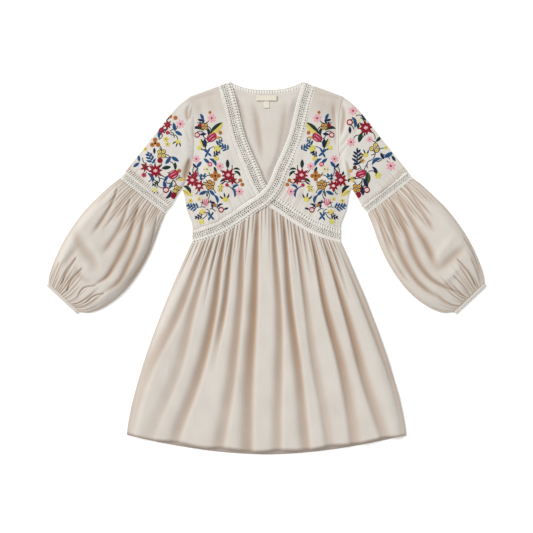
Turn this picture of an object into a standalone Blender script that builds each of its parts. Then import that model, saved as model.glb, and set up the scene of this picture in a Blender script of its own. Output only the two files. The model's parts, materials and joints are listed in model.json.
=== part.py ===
"""A short empire-line dress with balloon sleeves, laid flat on its back.

Metres, +Z up out of the front, +Y towards the neck, +X towards the wearer's left sleeve.
Plan positions are written as x from the centre line and y above the hem's lowest point.
The back panels lie flat on z = 0, the front panels lie on them, and a sleeve is a flattened tube.
"""

import math

import bmesh
import bpy
import numpy as np

WALL = 0.0014
SEAM_GAP = 0.0003
FRONT_REST = WALL + SEAM_GAP
TUBE_EDGE = 2 * WALL + SEAM_GAP
MOST_SLOPE_FACTOR = 1.5

# Body, in plan
NECK_POINT = (0.087, 0.900)
SHOULDER_POINT = (0.1855, 0.8635)
ARMHOLE = [SHOULDER_POINT, (0.177, 0.833), (0.1735, 0.784), (0.176, 0.724), (0.187, 0.683), (0.205, 0.646)]
SIDE_SEAM = [(0.205, 0.646), (0.198, 0.622), (0.1925, 0.590), (0.181, 0.560), (0.1785, 0.543)]
WAIST_HALF_WIDTH = 0.1795
WAIST_SIDE_Y = 0.510
ARMHOLE_ROWS = 9
BACK_NECK_DROP = 0.019
BACK_NECK_POWER = 2.6
BODICE_SWELL = 0.0055
SWELL_RAMP = 0.050
BODICE_TUCK = 0.0012

# Skirt
HEM_HALF_WIDTH = 0.337
HEM_SIDE_Y = 0.047
HEM_POWER = 1.8
FLARE_POWER = 1.37
HEM_BACK_SHOWS = 0.005
HEM_WAVE = 0.0018
FOLD_FAN = 0.085
SKIRT_SIDE_ROLL = 0.034
GATHER_PITCH = 0.0107
GATHER_COLUMNS = 3
SKIRT_ROWS = (0, 0.025, 0.07, 0.14, 0.25, 0.4, 0.58, 0.78, 0.93, 1)
SKIRT_SWELL = [(0, 0.0032), (0.07, 0.0075), (0.2, 0.0115), (0.5, 0.0135), (0.85, 0.0110), (1, 0.0075)]

# Lace
LACE_WIDTH = 0.034
LACE_PATH = [
    (0.103, 0.894), (0.0895, 0.847), (0.071, 0.772), (0.054, 0.727), (0.036, 0.687), (0.019, 0.647),
    (-0.005, 0.618), (-0.035, 0.598), (-0.070, 0.574), (-0.112, 0.549), (-0.157, 0.532), (-0.1795, 0.5265),
]
LACE_STATIONS = 24
LACE_CROSSING = (0.0, 0.628)
CROSSING_LIFT = 0.0034
CROSSING_FULL = 0.031
CROSSING_END = 0.066
LACE_PROFILE = [(-0.5, 0.0012), (-0.40, 0.0024), (-0.26, 0.0014), (0.0, 0.0016), (0.26, 0.0014), (0.42, 0.0020), (0.5, 0.0012)]
BACK_NECK_LACE = 0.012
SLEEVE_LACE = 0.024

# Sleeve
SLEEVE_TOP_EDGE = [SHOULDER_POINT, (0.207, 0.847), (0.234, 0.818), (0.2675, 0.775), (0.3025, 0.731)]
UNDERARM_EDGE = [(0.205, 0.646), (0.213, 0.630)]
BAND_CENTRE = (0.2996, 0.6232)
BAND_HALF = 0.0697
BAND_ANGLE = math.radians(-141.7)
CUFF_CENTRE = (0.4943, 0.3733)
CUFF_HALF = 0.0510
CUFF_ANGLE = math.radians(-136.9)
CUFF_WIDTH = 0.009
CUFF_HEIGHT = 0.0042
UPPER_SLEEVE_SWELL = 0.006
SLEEVE_GATHERS = 14
SLEEVE_ROWS = (0, 0.04, 0.10, 0.20, 0.35, 0.5, 0.64, 0.76, 0.86, 0.93, 0.97, 1)

# Half widths of the lower sleeve either side of its axis, by the share of its length
SLEEVE_OUTLINE_COLUMNS = ("along", "outer", "inner")
SLEEVE_OUTLINE = [
    (0.00, 0.0697, 0.0697),
    (0.08, 0.0765, 0.0765),
    (0.20, 0.0825, 0.0890),
    (0.35, 0.0885, 0.1015),
    (0.50, 0.0890, 0.1075),
    (0.65, 0.0855, 0.1070),
    (0.80, 0.0765, 0.0965),
    (0.90, 0.0675, 0.0830),
    (0.96, 0.0600, 0.0695),
    (1.00, 0.0520, 0.0525),
]
SLEEVE_SWELL = [(0, 0.0020), (0.08, 0.0075), (0.25, 0.0135), (0.5, 0.0165), (0.75, 0.0160), (0.9, 0.0095), (1, 0.0020)]
ROLL_OUT = 0.0012
ROLL_IN = 0.0024

# Labels on the inside of the back neck
NECK_LABEL = (0.050, 0.013)
SIZE_LABEL = (0.014, 0.018)
LABEL_WALL = 0.001
LABEL_TOP_Y = 0.8675

# Each long trough in the skirt: across is -1 at the image-left side seam and 1 at the other,
# widths are half widths at waist and hem, and the depths are shares of the swell.
SKIRT_FOLD_COLUMNS = ("across", "width_waist", "width_hem", "depth_waist", "depth_middle", "depth_hem")
SKIRT_FOLDS = [
    (-0.93, 0.0032, 0.012, 0.70, 0.45, 0.35),
    (-0.70, 0.0034, 0.012, 0.85, 0.60, 0.40),
    (-0.51, 0.0034, 0.013, 0.85, 0.85, 0.75),
    (-0.41, 0.0032, 0.010, 0.80, 0.35, 0.15),
    (-0.26, 0.0034, 0.014, 0.85, 0.65, 0.65),
    (-0.12, 0.0036, 0.014, 0.90, 0.90, 0.85),
    (0.12, 0.0036, 0.014, 0.90, 0.80, 0.70),
    (0.24, 0.0034, 0.012, 0.85, 0.90, 0.80),
    (0.38, 0.0034, 0.012, 0.85, 0.70, 0.65),
    (0.58, 0.0034, 0.013, 0.90, 0.80, 0.65),
    (0.77, 0.0034, 0.012, 0.90, 0.70, 0.55),
    (0.95, 0.0032, 0.010, 0.70, 0.40, 0.30),
]

# Each long trough in the lower sleeve: across is 0 at the outer edge and 1 at the inner one,
# from and to are shares of the sleeve's length, past 0 or 1 where the trough runs into a seam.
SLEEVE_FOLD_COLUMNS = ("across_band", "across_cuff", "start", "end", "width", "depth")
SLEEVE_FOLDS = [
    (0.12, 0.20, -0.30, 0.38, 0.006, 0.55),
    (0.25, 0.28, -0.30, 0.55, 0.009, 0.75),
    (0.42, 0.48, -0.30, 0.62, 0.009, 0.70),
    (0.61, 0.74, -0.30, 1.05, 0.010, 0.90),
    (0.79, 0.90, -0.30, 0.95, 0.009, 0.75),
    (0.14, 0.14, 0.55, 1.30, 0.007, 0.70),
    (0.24, 0.27, 0.68, 1.30, 0.006, 0.70),
    (0.36, 0.40, 0.74, 1.30, 0.006, 0.60),
    (0.58, 0.56, 0.76, 1.30, 0.006, 0.65),
]

CLOTH = ("viscose_crepe", (0.80, 0.74, 0.68), 0.8)
COTTON_LACE = ("cotton_lace", (0.86, 0.84, 0.80), 0.9)
LABEL_TAPE = ("label_tape", (0.80, 0.77, 0.69), 0.7)


def smooth(t):
    """0 below 0, 1 above 1, and an even rise between."""
    t = np.clip(t, 0.0, 1.0)
    return t * t * (3 - 2 * t)


def table(rows, at, column=1):
    """Reads a table of (place, value) rows at a place, along a smooth curve."""
    x, y = (np.array([row[i] for row in rows]) for i in (0, column))
    slope = np.gradient(y, x)
    i = int(np.clip(np.searchsorted(x, at) - 1, 0, len(x) - 2))
    h = x[i + 1] - x[i]
    t = np.clip((at - x[i]) / h, 0, 1)
    rise = y[i] + (y[i + 1] - y[i]) * smooth(t)
    return float(rise + h * t * (1 - t) * (slope[i] * (1 - t) - slope[i + 1] * t))


def curve_through(points, count):
    """A smooth curve through the points, read at count places evenly along it."""
    p = np.array(points, float)
    p = np.vstack([2 * p[0] - p[1], p, 2 * p[-1] - p[-2]])
    t = np.linspace(0, 1, 24, endpoint=False)[:, None]
    spans = []
    for a, b, c, d in zip(p, p[1:], p[2:], p[3:]):
        spans.append(0.5 * (2 * b + (c - a) * t + (2 * a - 5 * b + 4 * c - d) * t**2 + (3 * b - a - 3 * c + d) * t**3))
    fine = np.vstack([*spans, p[-2]])
    along = np.concatenate([[0], np.cumsum(np.linalg.norm(np.diff(fine, axis=0), axis=1))])
    at = np.linspace(0, along[-1], count)
    return np.column_stack([np.interp(at, along, fine[:, 0]), np.interp(at, along, fine[:, 1])])


def moved_in(points, distance):
    """The curve moved sideways, to the right of its direction."""
    d = np.gradient(points, axis=0)
    d /= np.linalg.norm(d, axis=1)[:, None]
    return points + distance * np.column_stack([d[:, 1], -d[:, 0]])


def split(points, count):
    """Each straight stretch of the curve in count equal parts."""
    at = np.arange(count * (len(points) - 1) + 1) / count
    return np.column_stack([np.interp(at, np.arange(len(points)), points[:, i]) for i in (0, 1)])


def mirrored(points):
    return np.asarray(points, float) * (-1, 1)


def patch(left, right, top, bottom, across):
    """A plan grid, rows by columns, whose borders are the four curves. across holds the columns' shares."""
    rows = len(left)
    v = np.linspace(0, 1, rows)[:, None, None]
    u = np.asarray(across, float)[None, :, None]
    grid = (1 - v) * top[None] + v * bottom[None] + (1 - u) * left[:, None] + u * right[:, None]
    corners = (1 - v) * ((1 - u) * top[0] + u * top[-1]) + v * ((1 - u) * bottom[0] + u * bottom[-1])
    return grid - corners


def body_half_width(y):
    """Half the width of the body at a height, along the armhole, the side seam and the skirt's side."""
    edge = [*ARMHOLE, *SIDE_SEAM[1:], (WAIST_HALF_WIDTH, WAIST_SIDE_Y)]
    xs, ys = zip(*reversed(edge))
    return np.interp(y, ys, xs)


def shoulder_y(x):
    slope = (NECK_POINT[1] - SHOULDER_POINT[1]) / (SHOULDER_POINT[0] - NECK_POINT[0])
    return NECK_POINT[1] - slope * (np.abs(x) - NECK_POINT[0])


def bodice_swell(x, y):
    """How far the front of the bodice and its lace stand above where they rest on the back."""
    from_side = (body_half_width(y) - np.abs(x)) / SWELL_RAMP
    from_shoulder = (shoulder_y(x) - y) / SWELL_RAMP
    return BODICE_SWELL * smooth(from_side) * smooth(from_shoulder)


def slope_factor(grid, z):
    """How much taller than its thickness a sloping wall is, measured straight up."""
    rise_across = np.gradient(z, axis=1) / np.linalg.norm(np.gradient(grid, axis=1), axis=2)
    rise_along = np.gradient(z, axis=0) / np.linalg.norm(np.gradient(grid, axis=0), axis=2)
    return np.minimum(np.sqrt(1 + rise_across**2 + rise_along**2), MOST_SLOPE_FACTOR)


# Meshes

def material(name, colour, roughness):
    found = bpy.data.materials.get(name)
    if found:
        return found
    made = bpy.data.materials.new(name)
    made.use_nodes = True
    shader = made.node_tree.nodes["Principled BSDF"]
    shader.inputs["Base Color"].default_value = (*colour, 1)
    shader.inputs["Roughness"].default_value = roughness
    shader.inputs["Metallic"].default_value = 0
    return made


def add_piece(name, bm, finish):
    bmesh.ops.recalc_face_normals(bm, faces=bm.faces)
    mesh = bpy.data.meshes.new(name)
    bm.to_mesh(mesh)
    bm.free()
    mesh.shade_smooth()
    mesh.set_sharp_from_angle(angle=math.radians(50))
    mesh.materials.append(material(*finish))
    piece = bpy.data.objects.new(name, mesh)
    bpy.context.scene.collection.objects.link(piece)
    return piece


def add_quad(bm, a, b, c, d):
    """Two triangles, always split the same way, so that a wall's two faces keep their distance."""
    bm.faces.new((a, b, c))
    bm.faces.new((a, c, d))


def add_wall(name, grid, low, high, finish):
    """A closed wall over a plan grid, between two heights."""
    bm = bmesh.new()
    rows, columns = low.shape
    sheets = [
        [[bm.verts.new((*grid[r, c], z[r, c])) for c in range(columns)] for r in range(rows)]
        for z in (low, high)
    ]
    for sheet in sheets:
        for r in range(rows - 1):
            for c in range(columns - 1):
                add_quad(bm, sheet[r][c], sheet[r][c + 1], sheet[r + 1][c + 1], sheet[r + 1][c])
    border = [(0, c) for c in range(columns)] + [(r, columns - 1) for r in range(1, rows)]
    border += [(rows - 1, c) for c in range(columns - 2, -1, -1)] + [(r, 0) for r in range(rows - 2, 0, -1)]
    for (r0, c0), (r1, c1) in zip(border, border[1:] + border[:1]):
        add_quad(bm, sheets[0][r0][c0], sheets[0][r1][c1], sheets[1][r1][c1], sheets[1][r0][c0])
    return add_piece(name, bm, finish)


def add_flat_tube(name, plan, top, stations, columns, back_columns, finish):
    """A flattened tube. plan(across, along) gives a place, and top(across, along) the height of its upper face."""
    along = np.asarray(stations, float)
    across = np.linspace(0, 1, columns + 1)
    under = np.linspace(1, 0, back_columns + 1)
    mid = TUBE_EDGE / 2
    z = np.array([[top(a, t) for a in across] for t in along])
    grid = np.array([[plan(a, t) for a in across] for t in along])
    inner_z = np.maximum(z - WALL * slope_factor(grid, z), WALL + SEAM_GAP)
    bm = bmesh.new()
    rings = []
    for r, t in enumerate(along):
        width = np.linalg.norm(np.subtract(plan(1, t), plan(0, t)))

        def place(share, inset, height, t=t, width=width):
            inside = np.clip(share, inset / width, 1 - inset / width)
            return bm.verts.new((*plan(inside, t), height))

        outer = [place(a, ROLL_OUT, z[r, i]) for i, a in enumerate(across)]
        outer += [place(1, 0, mid)] + [place(b, ROLL_OUT, 0) for b in under] + [place(0, 0, mid)]
        inner = [place(a, ROLL_IN, inner_z[r, i]) for i, a in enumerate(across)]
        inner += [place(1, WALL + SEAM_GAP / 2, mid)] + [place(b, ROLL_IN, WALL) for b in under]
        inner += [place(0, WALL + SEAM_GAP / 2, mid)]
        rings.append((outer, inner))
    count = len(rings[0][0])
    for k in range(count):
        n = (k + 1) % count
        for (outer, inner), (outer_next, inner_next) in zip(rings, rings[1:]):
            add_quad(bm, outer[k], outer[n], outer_next[n], outer_next[k])
            add_quad(bm, inner[k], inner[n], inner_next[n], inner_next[k])
        for outer, inner in (rings[0], rings[-1]):
            add_quad(bm, outer[k], outer[n], inner[n], inner[k])
    return add_piece(name, bm, finish)


# Lace strips: each runs from a shoulder over the crossing to the far side seam

def lace_frame():
    """The strip's centre line from the +X shoulder to the -X side seam, and its direction towards the neck opening."""
    centre = curve_through(LACE_PATH, LACE_STATIONS)
    d = np.gradient(centre, axis=0)
    inward = np.column_stack([d[:, 1], -d[:, 0]])
    inward /= np.linalg.norm(inward, axis=1)[:, None]
    shoulder = np.subtract(NECK_POINT, SHOULDER_POINT) / np.linalg.norm(np.subtract(NECK_POINT, SHOULDER_POINT))
    at_start = (1 - smooth(np.arange(LACE_STATIONS) / 4))[:, None]
    at_end = smooth((np.arange(LACE_STATIONS) - (LACE_STATIONS - 5)) / 4)[:, None]
    inward = inward * (1 - at_start) + shoulder * at_start
    inward = inward * (1 - at_end) + np.array((0.0, 1.0)) * at_end
    return centre, inward / np.linalg.norm(inward, axis=1)[:, None]


def lace_edge(side):
    """The strip's inner edge (side 1) or outer edge (side -1), moved out by the seam's gap."""
    centre, inward = lace_frame()
    return centre + side * (LACE_WIDTH / 2 + SEAM_GAP) * inward


def crossing_of(first, second):
    """Where two curves cross: the place, and the number of whole segments of each before it."""
    for i, (a, b) in enumerate(zip(first, first[1:])):
        for j, (c, d) in enumerate(zip(second, second[1:])):
            m = np.column_stack([b - a, c - d])
            if abs(np.linalg.det(m)) < 1e-14:
                continue
            s, t = np.linalg.solve(m, c - a)
            if 0 <= s <= 1 and 0 <= t <= 1:
                return a + s * (b - a), i, j
    raise ValueError("the curves don't cross")


def add_front_lace(name, mirror, over):
    centre, inward = lace_frame()
    shares = np.array([share for share, _ in LACE_PROFILE])
    grid = centre[:, None] + shares[None, :, None] * LACE_WIDTH * inward[:, None]
    if mirror:
        grid = mirrored(grid)
    low = FRONT_REST + bodice_swell(grid[..., 0], grid[..., 1])
    if over:
        away = np.linalg.norm(grid - LACE_CROSSING, axis=2)
        low = low + CROSSING_LIFT * smooth((CROSSING_END - away) / (CROSSING_END - CROSSING_FULL))
    high = low + np.array([height for _, height in LACE_PROFILE])
    return add_wall(name, grid, low, high, COTTON_LACE)


def back_neck_y(x):
    return NECK_POINT[1] - BACK_NECK_DROP * (1 - (np.abs(x) / NECK_POINT[0]) ** BACK_NECK_POWER)


def add_back_neck_lace():
    x = np.linspace(-1, 1, 21) * (NECK_POINT[0] - 2 * SEAM_GAP)
    down = np.linspace(0, BACK_NECK_LACE, 3)
    grid = np.stack([np.column_stack([x, back_neck_y(x) - d]) for d in down])
    low = np.zeros(grid.shape[:2])
    return add_wall("lace_back_neck", grid, low, low + WALL, COTTON_LACE)


# Bodice

def armhole_and_side(rows):
    side_rows = rows + 1 - ARMHOLE_ROWS
    return np.vstack([curve_through(ARMHOLE, ARMHOLE_ROWS), curve_through(SIDE_SEAM, side_rows)[1:]])


def add_bodice_front(name, mirror):
    """One front: from its shoulder to the far strip's upper edge, between its own strip and the armhole."""
    own = lace_edge(-1)
    far = mirrored(lace_edge(1))
    corner, own_cut, far_cut = crossing_of(own, far)
    neck = np.vstack([own[: own_cut + 1], corner])
    under = split(np.vstack([corner, far[far_cut + 1:]]), GATHER_COLUMNS)
    right = armhole_and_side(len(neck))
    right[-1] = under[-1]
    across = np.linspace(0, 1, len(under))
    top = own[0] + across[:, None] * (np.array(SHOULDER_POINT) - own[0])
    grid = patch(neck, right, top, under, across)
    down = np.linspace(0, 1, len(neck))[:, None]
    gathers = (len(under) - 1) // GATHER_COLUMNS
    tucks = BODICE_TUCK * (1 - np.cos(2 * math.pi * gathers * across[None])) / 2 * smooth((down - 0.72) / 0.2)
    low = FRONT_REST + bodice_swell(grid[..., 0], grid[..., 1]) + tucks
    high = low + WALL * slope_factor(grid, low)
    if mirror:
        grid = mirrored(grid)
    return add_wall(name, grid, low, high, CLOTH)


def add_bodice_back():
    side = np.vstack([armhole_and_side(ARMHOLE_ROWS + 4), (WAIST_HALF_WIDTH, WAIST_SIDE_Y)])
    shoulder = curve_through([SHOULDER_POINT, (NECK_POINT[0] + SEAM_GAP, NECK_POINT[1])], 5)
    x = np.linspace(NECK_POINT[0] - SEAM_GAP, 0, 7)
    neck = np.column_stack([x, back_neck_y(x) - BACK_NECK_LACE - SEAM_GAP])
    half = np.vstack([shoulder, neck])
    top = np.vstack([mirrored(half), half[::-1][1:]])
    across = (top[:, 0] + SHOULDER_POINT[0]) / (2 * SHOULDER_POINT[0])
    bottom = np.column_stack([(2 * across - 1) * WAIST_HALF_WIDTH, np.full(len(across), WAIST_SIDE_Y)])
    grid = patch(mirrored(side), side, top, bottom, across)
    low = np.zeros(grid.shape[:2])
    return add_wall("bodice_back", grid, low, low + WALL, CLOTH)


# Skirt

def skirt_half_width(v):
    return WAIST_HALF_WIDTH + (HEM_HALF_WIDTH - WAIST_HALF_WIDTH) * (1 - (1 - v) ** FLARE_POWER)


def hem_y(share):
    return HEM_SIDE_Y * abs(share) ** HEM_POWER


def fanned(across, v):
    """Folds spread a little towards the sides on their way down."""
    return across + math.copysign(FOLD_FAN, across) * math.sin(math.pi * abs(across)) * float(smooth((v - 0.3) / 0.7))


def skirt_troughs():
    """Every trough at the waist: the long ones of the table, and short gathers evenly between them."""
    troughs = []
    places = [-1, *(row[0] for row in SKIRT_FOLDS), 1]
    for number, (a, b) in enumerate(zip(places, places[1:])):
        if number:
            troughs.append(dict(zip(SKIRT_FOLD_COLUMNS, SKIRT_FOLDS[number - 1])))
        count = max(1, round((b - a) * WAIST_HALF_WIDTH / GATHER_PITCH))
        for k in range(1, count):
            fade = 0.16 + 0.10 * math.sin(7.3 * number + 2.1 * k)
            troughs.append({"across": a + (b - a) * k / count, "fade": fade})
    return troughs


def trough_depth(trough, v):
    if "fade" in trough:
        return 0.75 * float(smooth(1 - v / (trough["fade"] + 0.08)))
    keys = [(0, trough["depth_waist"]), (0.45, trough["depth_middle"]), (1, trough["depth_hem"])]
    return table(keys, v)


def trough_width(trough, v):
    if "fade" in trough:
        return 0.0030 + 0.006 * v
    share = float(smooth(v * 1.3))
    return trough["width_waist"] + (trough["width_hem"] - trough["width_waist"]) * share


def skirt_relief(across, v, troughs):
    """The height of the front's lower face above where it rests on the back."""
    half = skirt_half_width(v)
    x = fanned(across, v) * half
    shape = table(SKIRT_SWELL, v) * math.sin(0.5 * math.pi * min(1, (half - abs(x)) / SKIRT_SIDE_ROLL))
    for trough in troughs:
        away = (x - fanned(trough["across"], v) * half) / trough_width(trough, v)
        shape *= 1 - trough_depth(trough, v) * math.exp(-away * away)
    return shape


def skirt_top():
    """The seam under the lace, from side seam to side seam: the strips' lower edges, met on the centre line."""
    edge = lace_edge(-1)
    _, cut, _ = crossing_of(edge, mirrored(edge))
    share = edge[cut, 0] / (edge[cut, 0] - edge[cut + 1, 0])
    apex = edge[cut] + share * (edge[cut + 1] - edge[cut])
    half = np.vstack([apex, edge[cut + 1:]])
    return np.vstack([half[::-1], mirrored(half)[1:]])


def add_skirt_front():
    troughs = skirt_troughs()
    stops = [-1, *(t["across"] for t in troughs), 1]
    columns = [a + (b - a) * k / GATHER_COLUMNS for a, b in zip(stops, stops[1:]) for k in range(GATHER_COLUMNS)] + [1]
    seam = skirt_top()
    waist_y = np.interp(np.array(columns) * WAIST_HALF_WIDTH, seam[:, 0], seam[:, 1])
    grid = np.zeros((len(SKIRT_ROWS), len(columns), 2))
    low = np.zeros(grid.shape[:2])
    for r, v in enumerate(SKIRT_ROWS):
        for c, across in enumerate(columns):
            share = fanned(across, v)
            rise = skirt_relief(across, v, troughs)
            bottom = HEM_BACK_SHOWS * (1 - share * share) + hem_y(share) + HEM_WAVE * math.sin(17 * share)
            grid[r, c] = share * skirt_half_width(v), waist_y[c] + (bottom - waist_y[c]) * v
            blend = 1 - float(smooth(v / 0.10))
            low[r, c] = FRONT_REST + rise + blend * float(bodice_swell(*grid[r, c])) * 0.5
    high = low + WALL * slope_factor(grid, low)
    return add_wall("skirt_front", grid, low, high, CLOTH)


def add_skirt_back():
    shares = np.linspace(-1, 1, 25)
    grid = np.zeros((9, len(shares), 2))
    for r, v in enumerate(np.linspace(0, 1, 9)):
        for c, share in enumerate(shares):
            start = WAIST_SIDE_Y - SEAM_GAP
            grid[r, c] = share * skirt_half_width(v), start + (hem_y(share) - start) * v
    low = np.zeros(grid.shape[:2])
    return add_wall("skirt_back", grid, low, low + WALL, CLOTH)


# Sleeves, made on the +X side and mirrored for the other

def band_point(share, down):
    """A place on the band at the upper arm: share runs from the outer edge to the inner, down along the sleeve."""
    a = np.array((math.cos(BAND_ANGLE), math.sin(BAND_ANGLE)))
    along = np.array((-a[1], a[0])) * (1 if a[0] > 0 else -1)
    along = along if along[1] < 0 else -along
    return np.array(BAND_CENTRE) + a * BAND_HALF * (2 * share - 1) + along * down


def side_sign(side):
    return np.array((1.0 if side == "left" else -1.0, 1.0))


def add_upper_sleeve(side):
    """From the armhole to the lace band, as one flattened tube."""
    rows = 8
    armhole = split(moved_in(curve_through(ARMHOLE, ARMHOLE_ROWS), -SEAM_GAP), 2)
    columns = len(armhole) - 1
    start = -SLEEVE_LACE - SEAM_GAP
    outer = curve_through([armhole[0], *SLEEVE_TOP_EDGE[1:], band_point(0, start)], rows)
    inner = curve_through([armhole[-1], *UNDERARM_EDGE[1:], band_point(1, start)], rows)
    band = np.array([band_point(a, start) for a in np.linspace(0, 1, columns + 1)])
    grid = patch(outer, inner, armhole, band, np.linspace(0, 1, columns + 1))
    sign = side_sign(side)

    def plan(across, along):
        r = along * (rows - 1)
        c = across * columns
        r0, c0 = min(int(r), rows - 2), min(int(c), columns - 1)
        fr, fc = r - r0, c - c0
        near = grid[r0, c0] * (1 - fc) + grid[r0, c0 + 1] * fc
        far = grid[r0 + 1, c0] * (1 - fc) + grid[r0 + 1, c0 + 1] * fc
        return (near * (1 - fr) + far * fr) * sign

    def top(across, along):
        rounded = math.sin(math.pi * min(max(across, 0.0), 1.0)) ** 0.8
        ends = float(smooth(along / 0.35)) * float(smooth((1.15 - along) / 0.4))
        return TUBE_EDGE + UPPER_SLEEVE_SWELL * rounded * ends

    return add_flat_tube(f"sleeve_upper_{side}", plan, top, np.linspace(0, 1, rows), columns, 7, CLOTH)


def add_sleeve_lace(side):
    sign = side_sign(side)
    heights = {0.0: 0.0004, 0.16: 0.0012, 0.35: 0.0004, 0.82: 0.0014, 1.0: 0.0005}

    def plan(across, along):
        return band_point(across, -SLEEVE_LACE * (1 - along)) * sign

    def top(across, along):
        edge = float(smooth(min(across, 1 - across) / 0.06))
        return TUBE_EDGE + (heights[round(float(along), 2)] + 0.0012) * edge

    return add_flat_tube(f"lace_sleeve_{side}", plan, top, sorted(heights), 12, 5, COTTON_LACE)


def cuff_point(share, up):
    """A place on the cuff: share runs from the outer end to the inner, up is measured from its edge."""
    a = np.array((math.cos(CUFF_ANGLE), math.sin(CUFF_ANGLE)))
    back = np.array((a[1], -a[0]))
    back = back if back[1] > 0 else -back
    return np.array(CUFF_CENTRE) + a * CUFF_HALF * (2 * share - 1) + back * up


def add_lower_sleeve(side):
    """The balloon, gathered into the band above and the cuff below."""
    sign = side_sign(side)
    start = band_point(0.5, SEAM_GAP)
    end = cuff_point(0.5, CUFF_WIDTH + SEAM_GAP)
    def plan(across, along):
        turn = BAND_ANGLE + (CUFF_ANGLE - BAND_ANGLE) * float(smooth(along))
        a = np.array((math.cos(turn), math.sin(turn)))
        out = table(SLEEVE_OUTLINE, along, SLEEVE_OUTLINE_COLUMNS.index("outer"))
        inn = table(SLEEVE_OUTLINE, along, SLEEVE_OUTLINE_COLUMNS.index("inner"))
        return (start + (end - start) * along + a * (-out + (out + inn) * across)) * sign

    def top(across, along):
        width = np.linalg.norm(plan(1, along) - plan(0, along))
        edge = math.sin(0.5 * math.pi * min(1, min(across, 1 - across) * width / 0.030))
        shape = table(SLEEVE_SWELL, along) * edge
        for row in SLEEVE_FOLDS:
            fold = dict(zip(SLEEVE_FOLD_COLUMNS, row))
            at = fold["across_band"] + (fold["across_cuff"] - fold["across_band"]) * along
            window = float(smooth((along - fold["start"]) / 0.25) * smooth((fold["end"] - along) / 0.3))
            away = (across - at) * width / fold["width"]
            shape *= 1 - fold["depth"] * window * math.exp(-away * away)
        near_seam = float(smooth(1 - along / 0.22)) + float(smooth((along - 0.84) / 0.14))
        wave = 0.5 + 0.5 * math.cos(2 * math.pi * SLEEVE_GATHERS * across)
        shape *= 1 - 0.75 * near_seam * wave
        return TUBE_EDGE + shape + 0.0012 * edge * near_seam

    return add_flat_tube(f"sleeve_lower_{side}", plan, top, SLEEVE_ROWS, 3 * SLEEVE_GATHERS, 8, CLOTH)


def add_cuff(side):
    sign = side_sign(side)

    def plan(across, along):
        return cuff_point(across, CUFF_WIDTH * (1 - along)) * sign

    def top(across, along):
        edge = float(smooth(min(across, 1 - across) / 0.08))
        return TUBE_EDGE + (CUFF_HEIGHT - TUBE_EDGE) * edge

    return add_flat_tube(f"cuff_{side}", plan, top, (0, 0.5, 1), 10, 5, CLOTH)


# Labels

def add_label(name, size, top_y):
    x = np.linspace(-0.5, 0.5, 3) * size[0]
    grid = np.stack([np.column_stack([x, np.full(3, y)]) for y in (top_y, top_y - size[1])])
    low = np.full(grid.shape[:2], WALL + SEAM_GAP)
    return add_wall(name, grid, low, low + LABEL_WALL, LABEL_TAPE)


def build():
    for old in list(bpy.data.objects):
        bpy.data.objects.remove(old)
    pieces = [add_bodice_back(), add_skirt_back(), add_back_neck_lace()]
    pieces.append(add_bodice_front("bodice_front_left", mirror=False))
    pieces.append(add_bodice_front("bodice_front_right", mirror=True))
    pieces.append(add_skirt_front())
    pieces.append(add_front_lace("lace_front_over", mirror=False, over=True))
    pieces.append(add_front_lace("lace_front_under", mirror=True, over=False))
    for side in ("left", "right"):
        pieces += [add_upper_sleeve(side), add_sleeve_lace(side), add_lower_sleeve(side), add_cuff(side)]
    pieces.append(add_label("neck_label", NECK_LABEL, LABEL_TOP_Y))
    pieces.append(add_label("size_label", SIZE_LABEL, LABEL_TOP_Y - NECK_LABEL[1] - SEAM_GAP))
    corners = np.array([v.co for piece in pieces for v in piece.data.vertices])
    middle = (corners.min(axis=0) + corners.max(axis=0)) / 2
    dress = bpy.data.objects.new("dress", None)
    bpy.context.scene.collection.objects.link(dress)
    dress.location = (-middle[0], -middle[1], 0)
    for piece in pieces:
        piece.parent = dress


build()
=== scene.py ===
import json
import math
import random
import bpy
import numpy as np
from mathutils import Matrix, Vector
from mathutils.bvhtree import BVHTree

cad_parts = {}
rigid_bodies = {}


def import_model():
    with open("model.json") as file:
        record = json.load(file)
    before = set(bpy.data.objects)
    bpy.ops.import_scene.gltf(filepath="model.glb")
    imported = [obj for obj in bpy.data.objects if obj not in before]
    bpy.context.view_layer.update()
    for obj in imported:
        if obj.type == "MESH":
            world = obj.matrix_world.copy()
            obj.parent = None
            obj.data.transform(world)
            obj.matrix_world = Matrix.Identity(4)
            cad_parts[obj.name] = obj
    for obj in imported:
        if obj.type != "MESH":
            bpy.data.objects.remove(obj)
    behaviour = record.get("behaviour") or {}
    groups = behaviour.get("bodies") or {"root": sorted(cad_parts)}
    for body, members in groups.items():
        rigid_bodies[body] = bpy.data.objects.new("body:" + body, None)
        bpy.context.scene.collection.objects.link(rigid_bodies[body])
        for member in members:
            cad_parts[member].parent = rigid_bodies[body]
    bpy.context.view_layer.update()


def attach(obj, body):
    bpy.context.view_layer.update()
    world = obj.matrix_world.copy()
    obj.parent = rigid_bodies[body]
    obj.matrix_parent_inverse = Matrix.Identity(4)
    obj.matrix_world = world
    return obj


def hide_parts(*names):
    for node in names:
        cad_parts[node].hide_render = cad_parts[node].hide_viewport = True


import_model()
print("frame loaded")

# Plan positions are x from the centre line and y above the hem's lowest point, in metres.
# The frame's origin is the middle of the dress, so every piece is made 0.45 m further down.
dress = {
    "planShiftY": -0.45,
    "pixel": 0.00241,  # what one pixel of the photograph covers
    "photoCentreX": 266.5,
    "photoHemY": 455.5,
    "clothThickness": 0.0005,
    "restHeight": 0.0017,  # the front lies on the back from here up
    "wall": 0.0014,
    "tubeEdge": 0.0031,
}


# Maths

def smooth(t):
    t = np.clip(t, 0.0, 1.0)
    return t * t * (3 - 2 * t)


def spread(start, stop, count):
    return np.linspace(start, stop, count)


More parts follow.
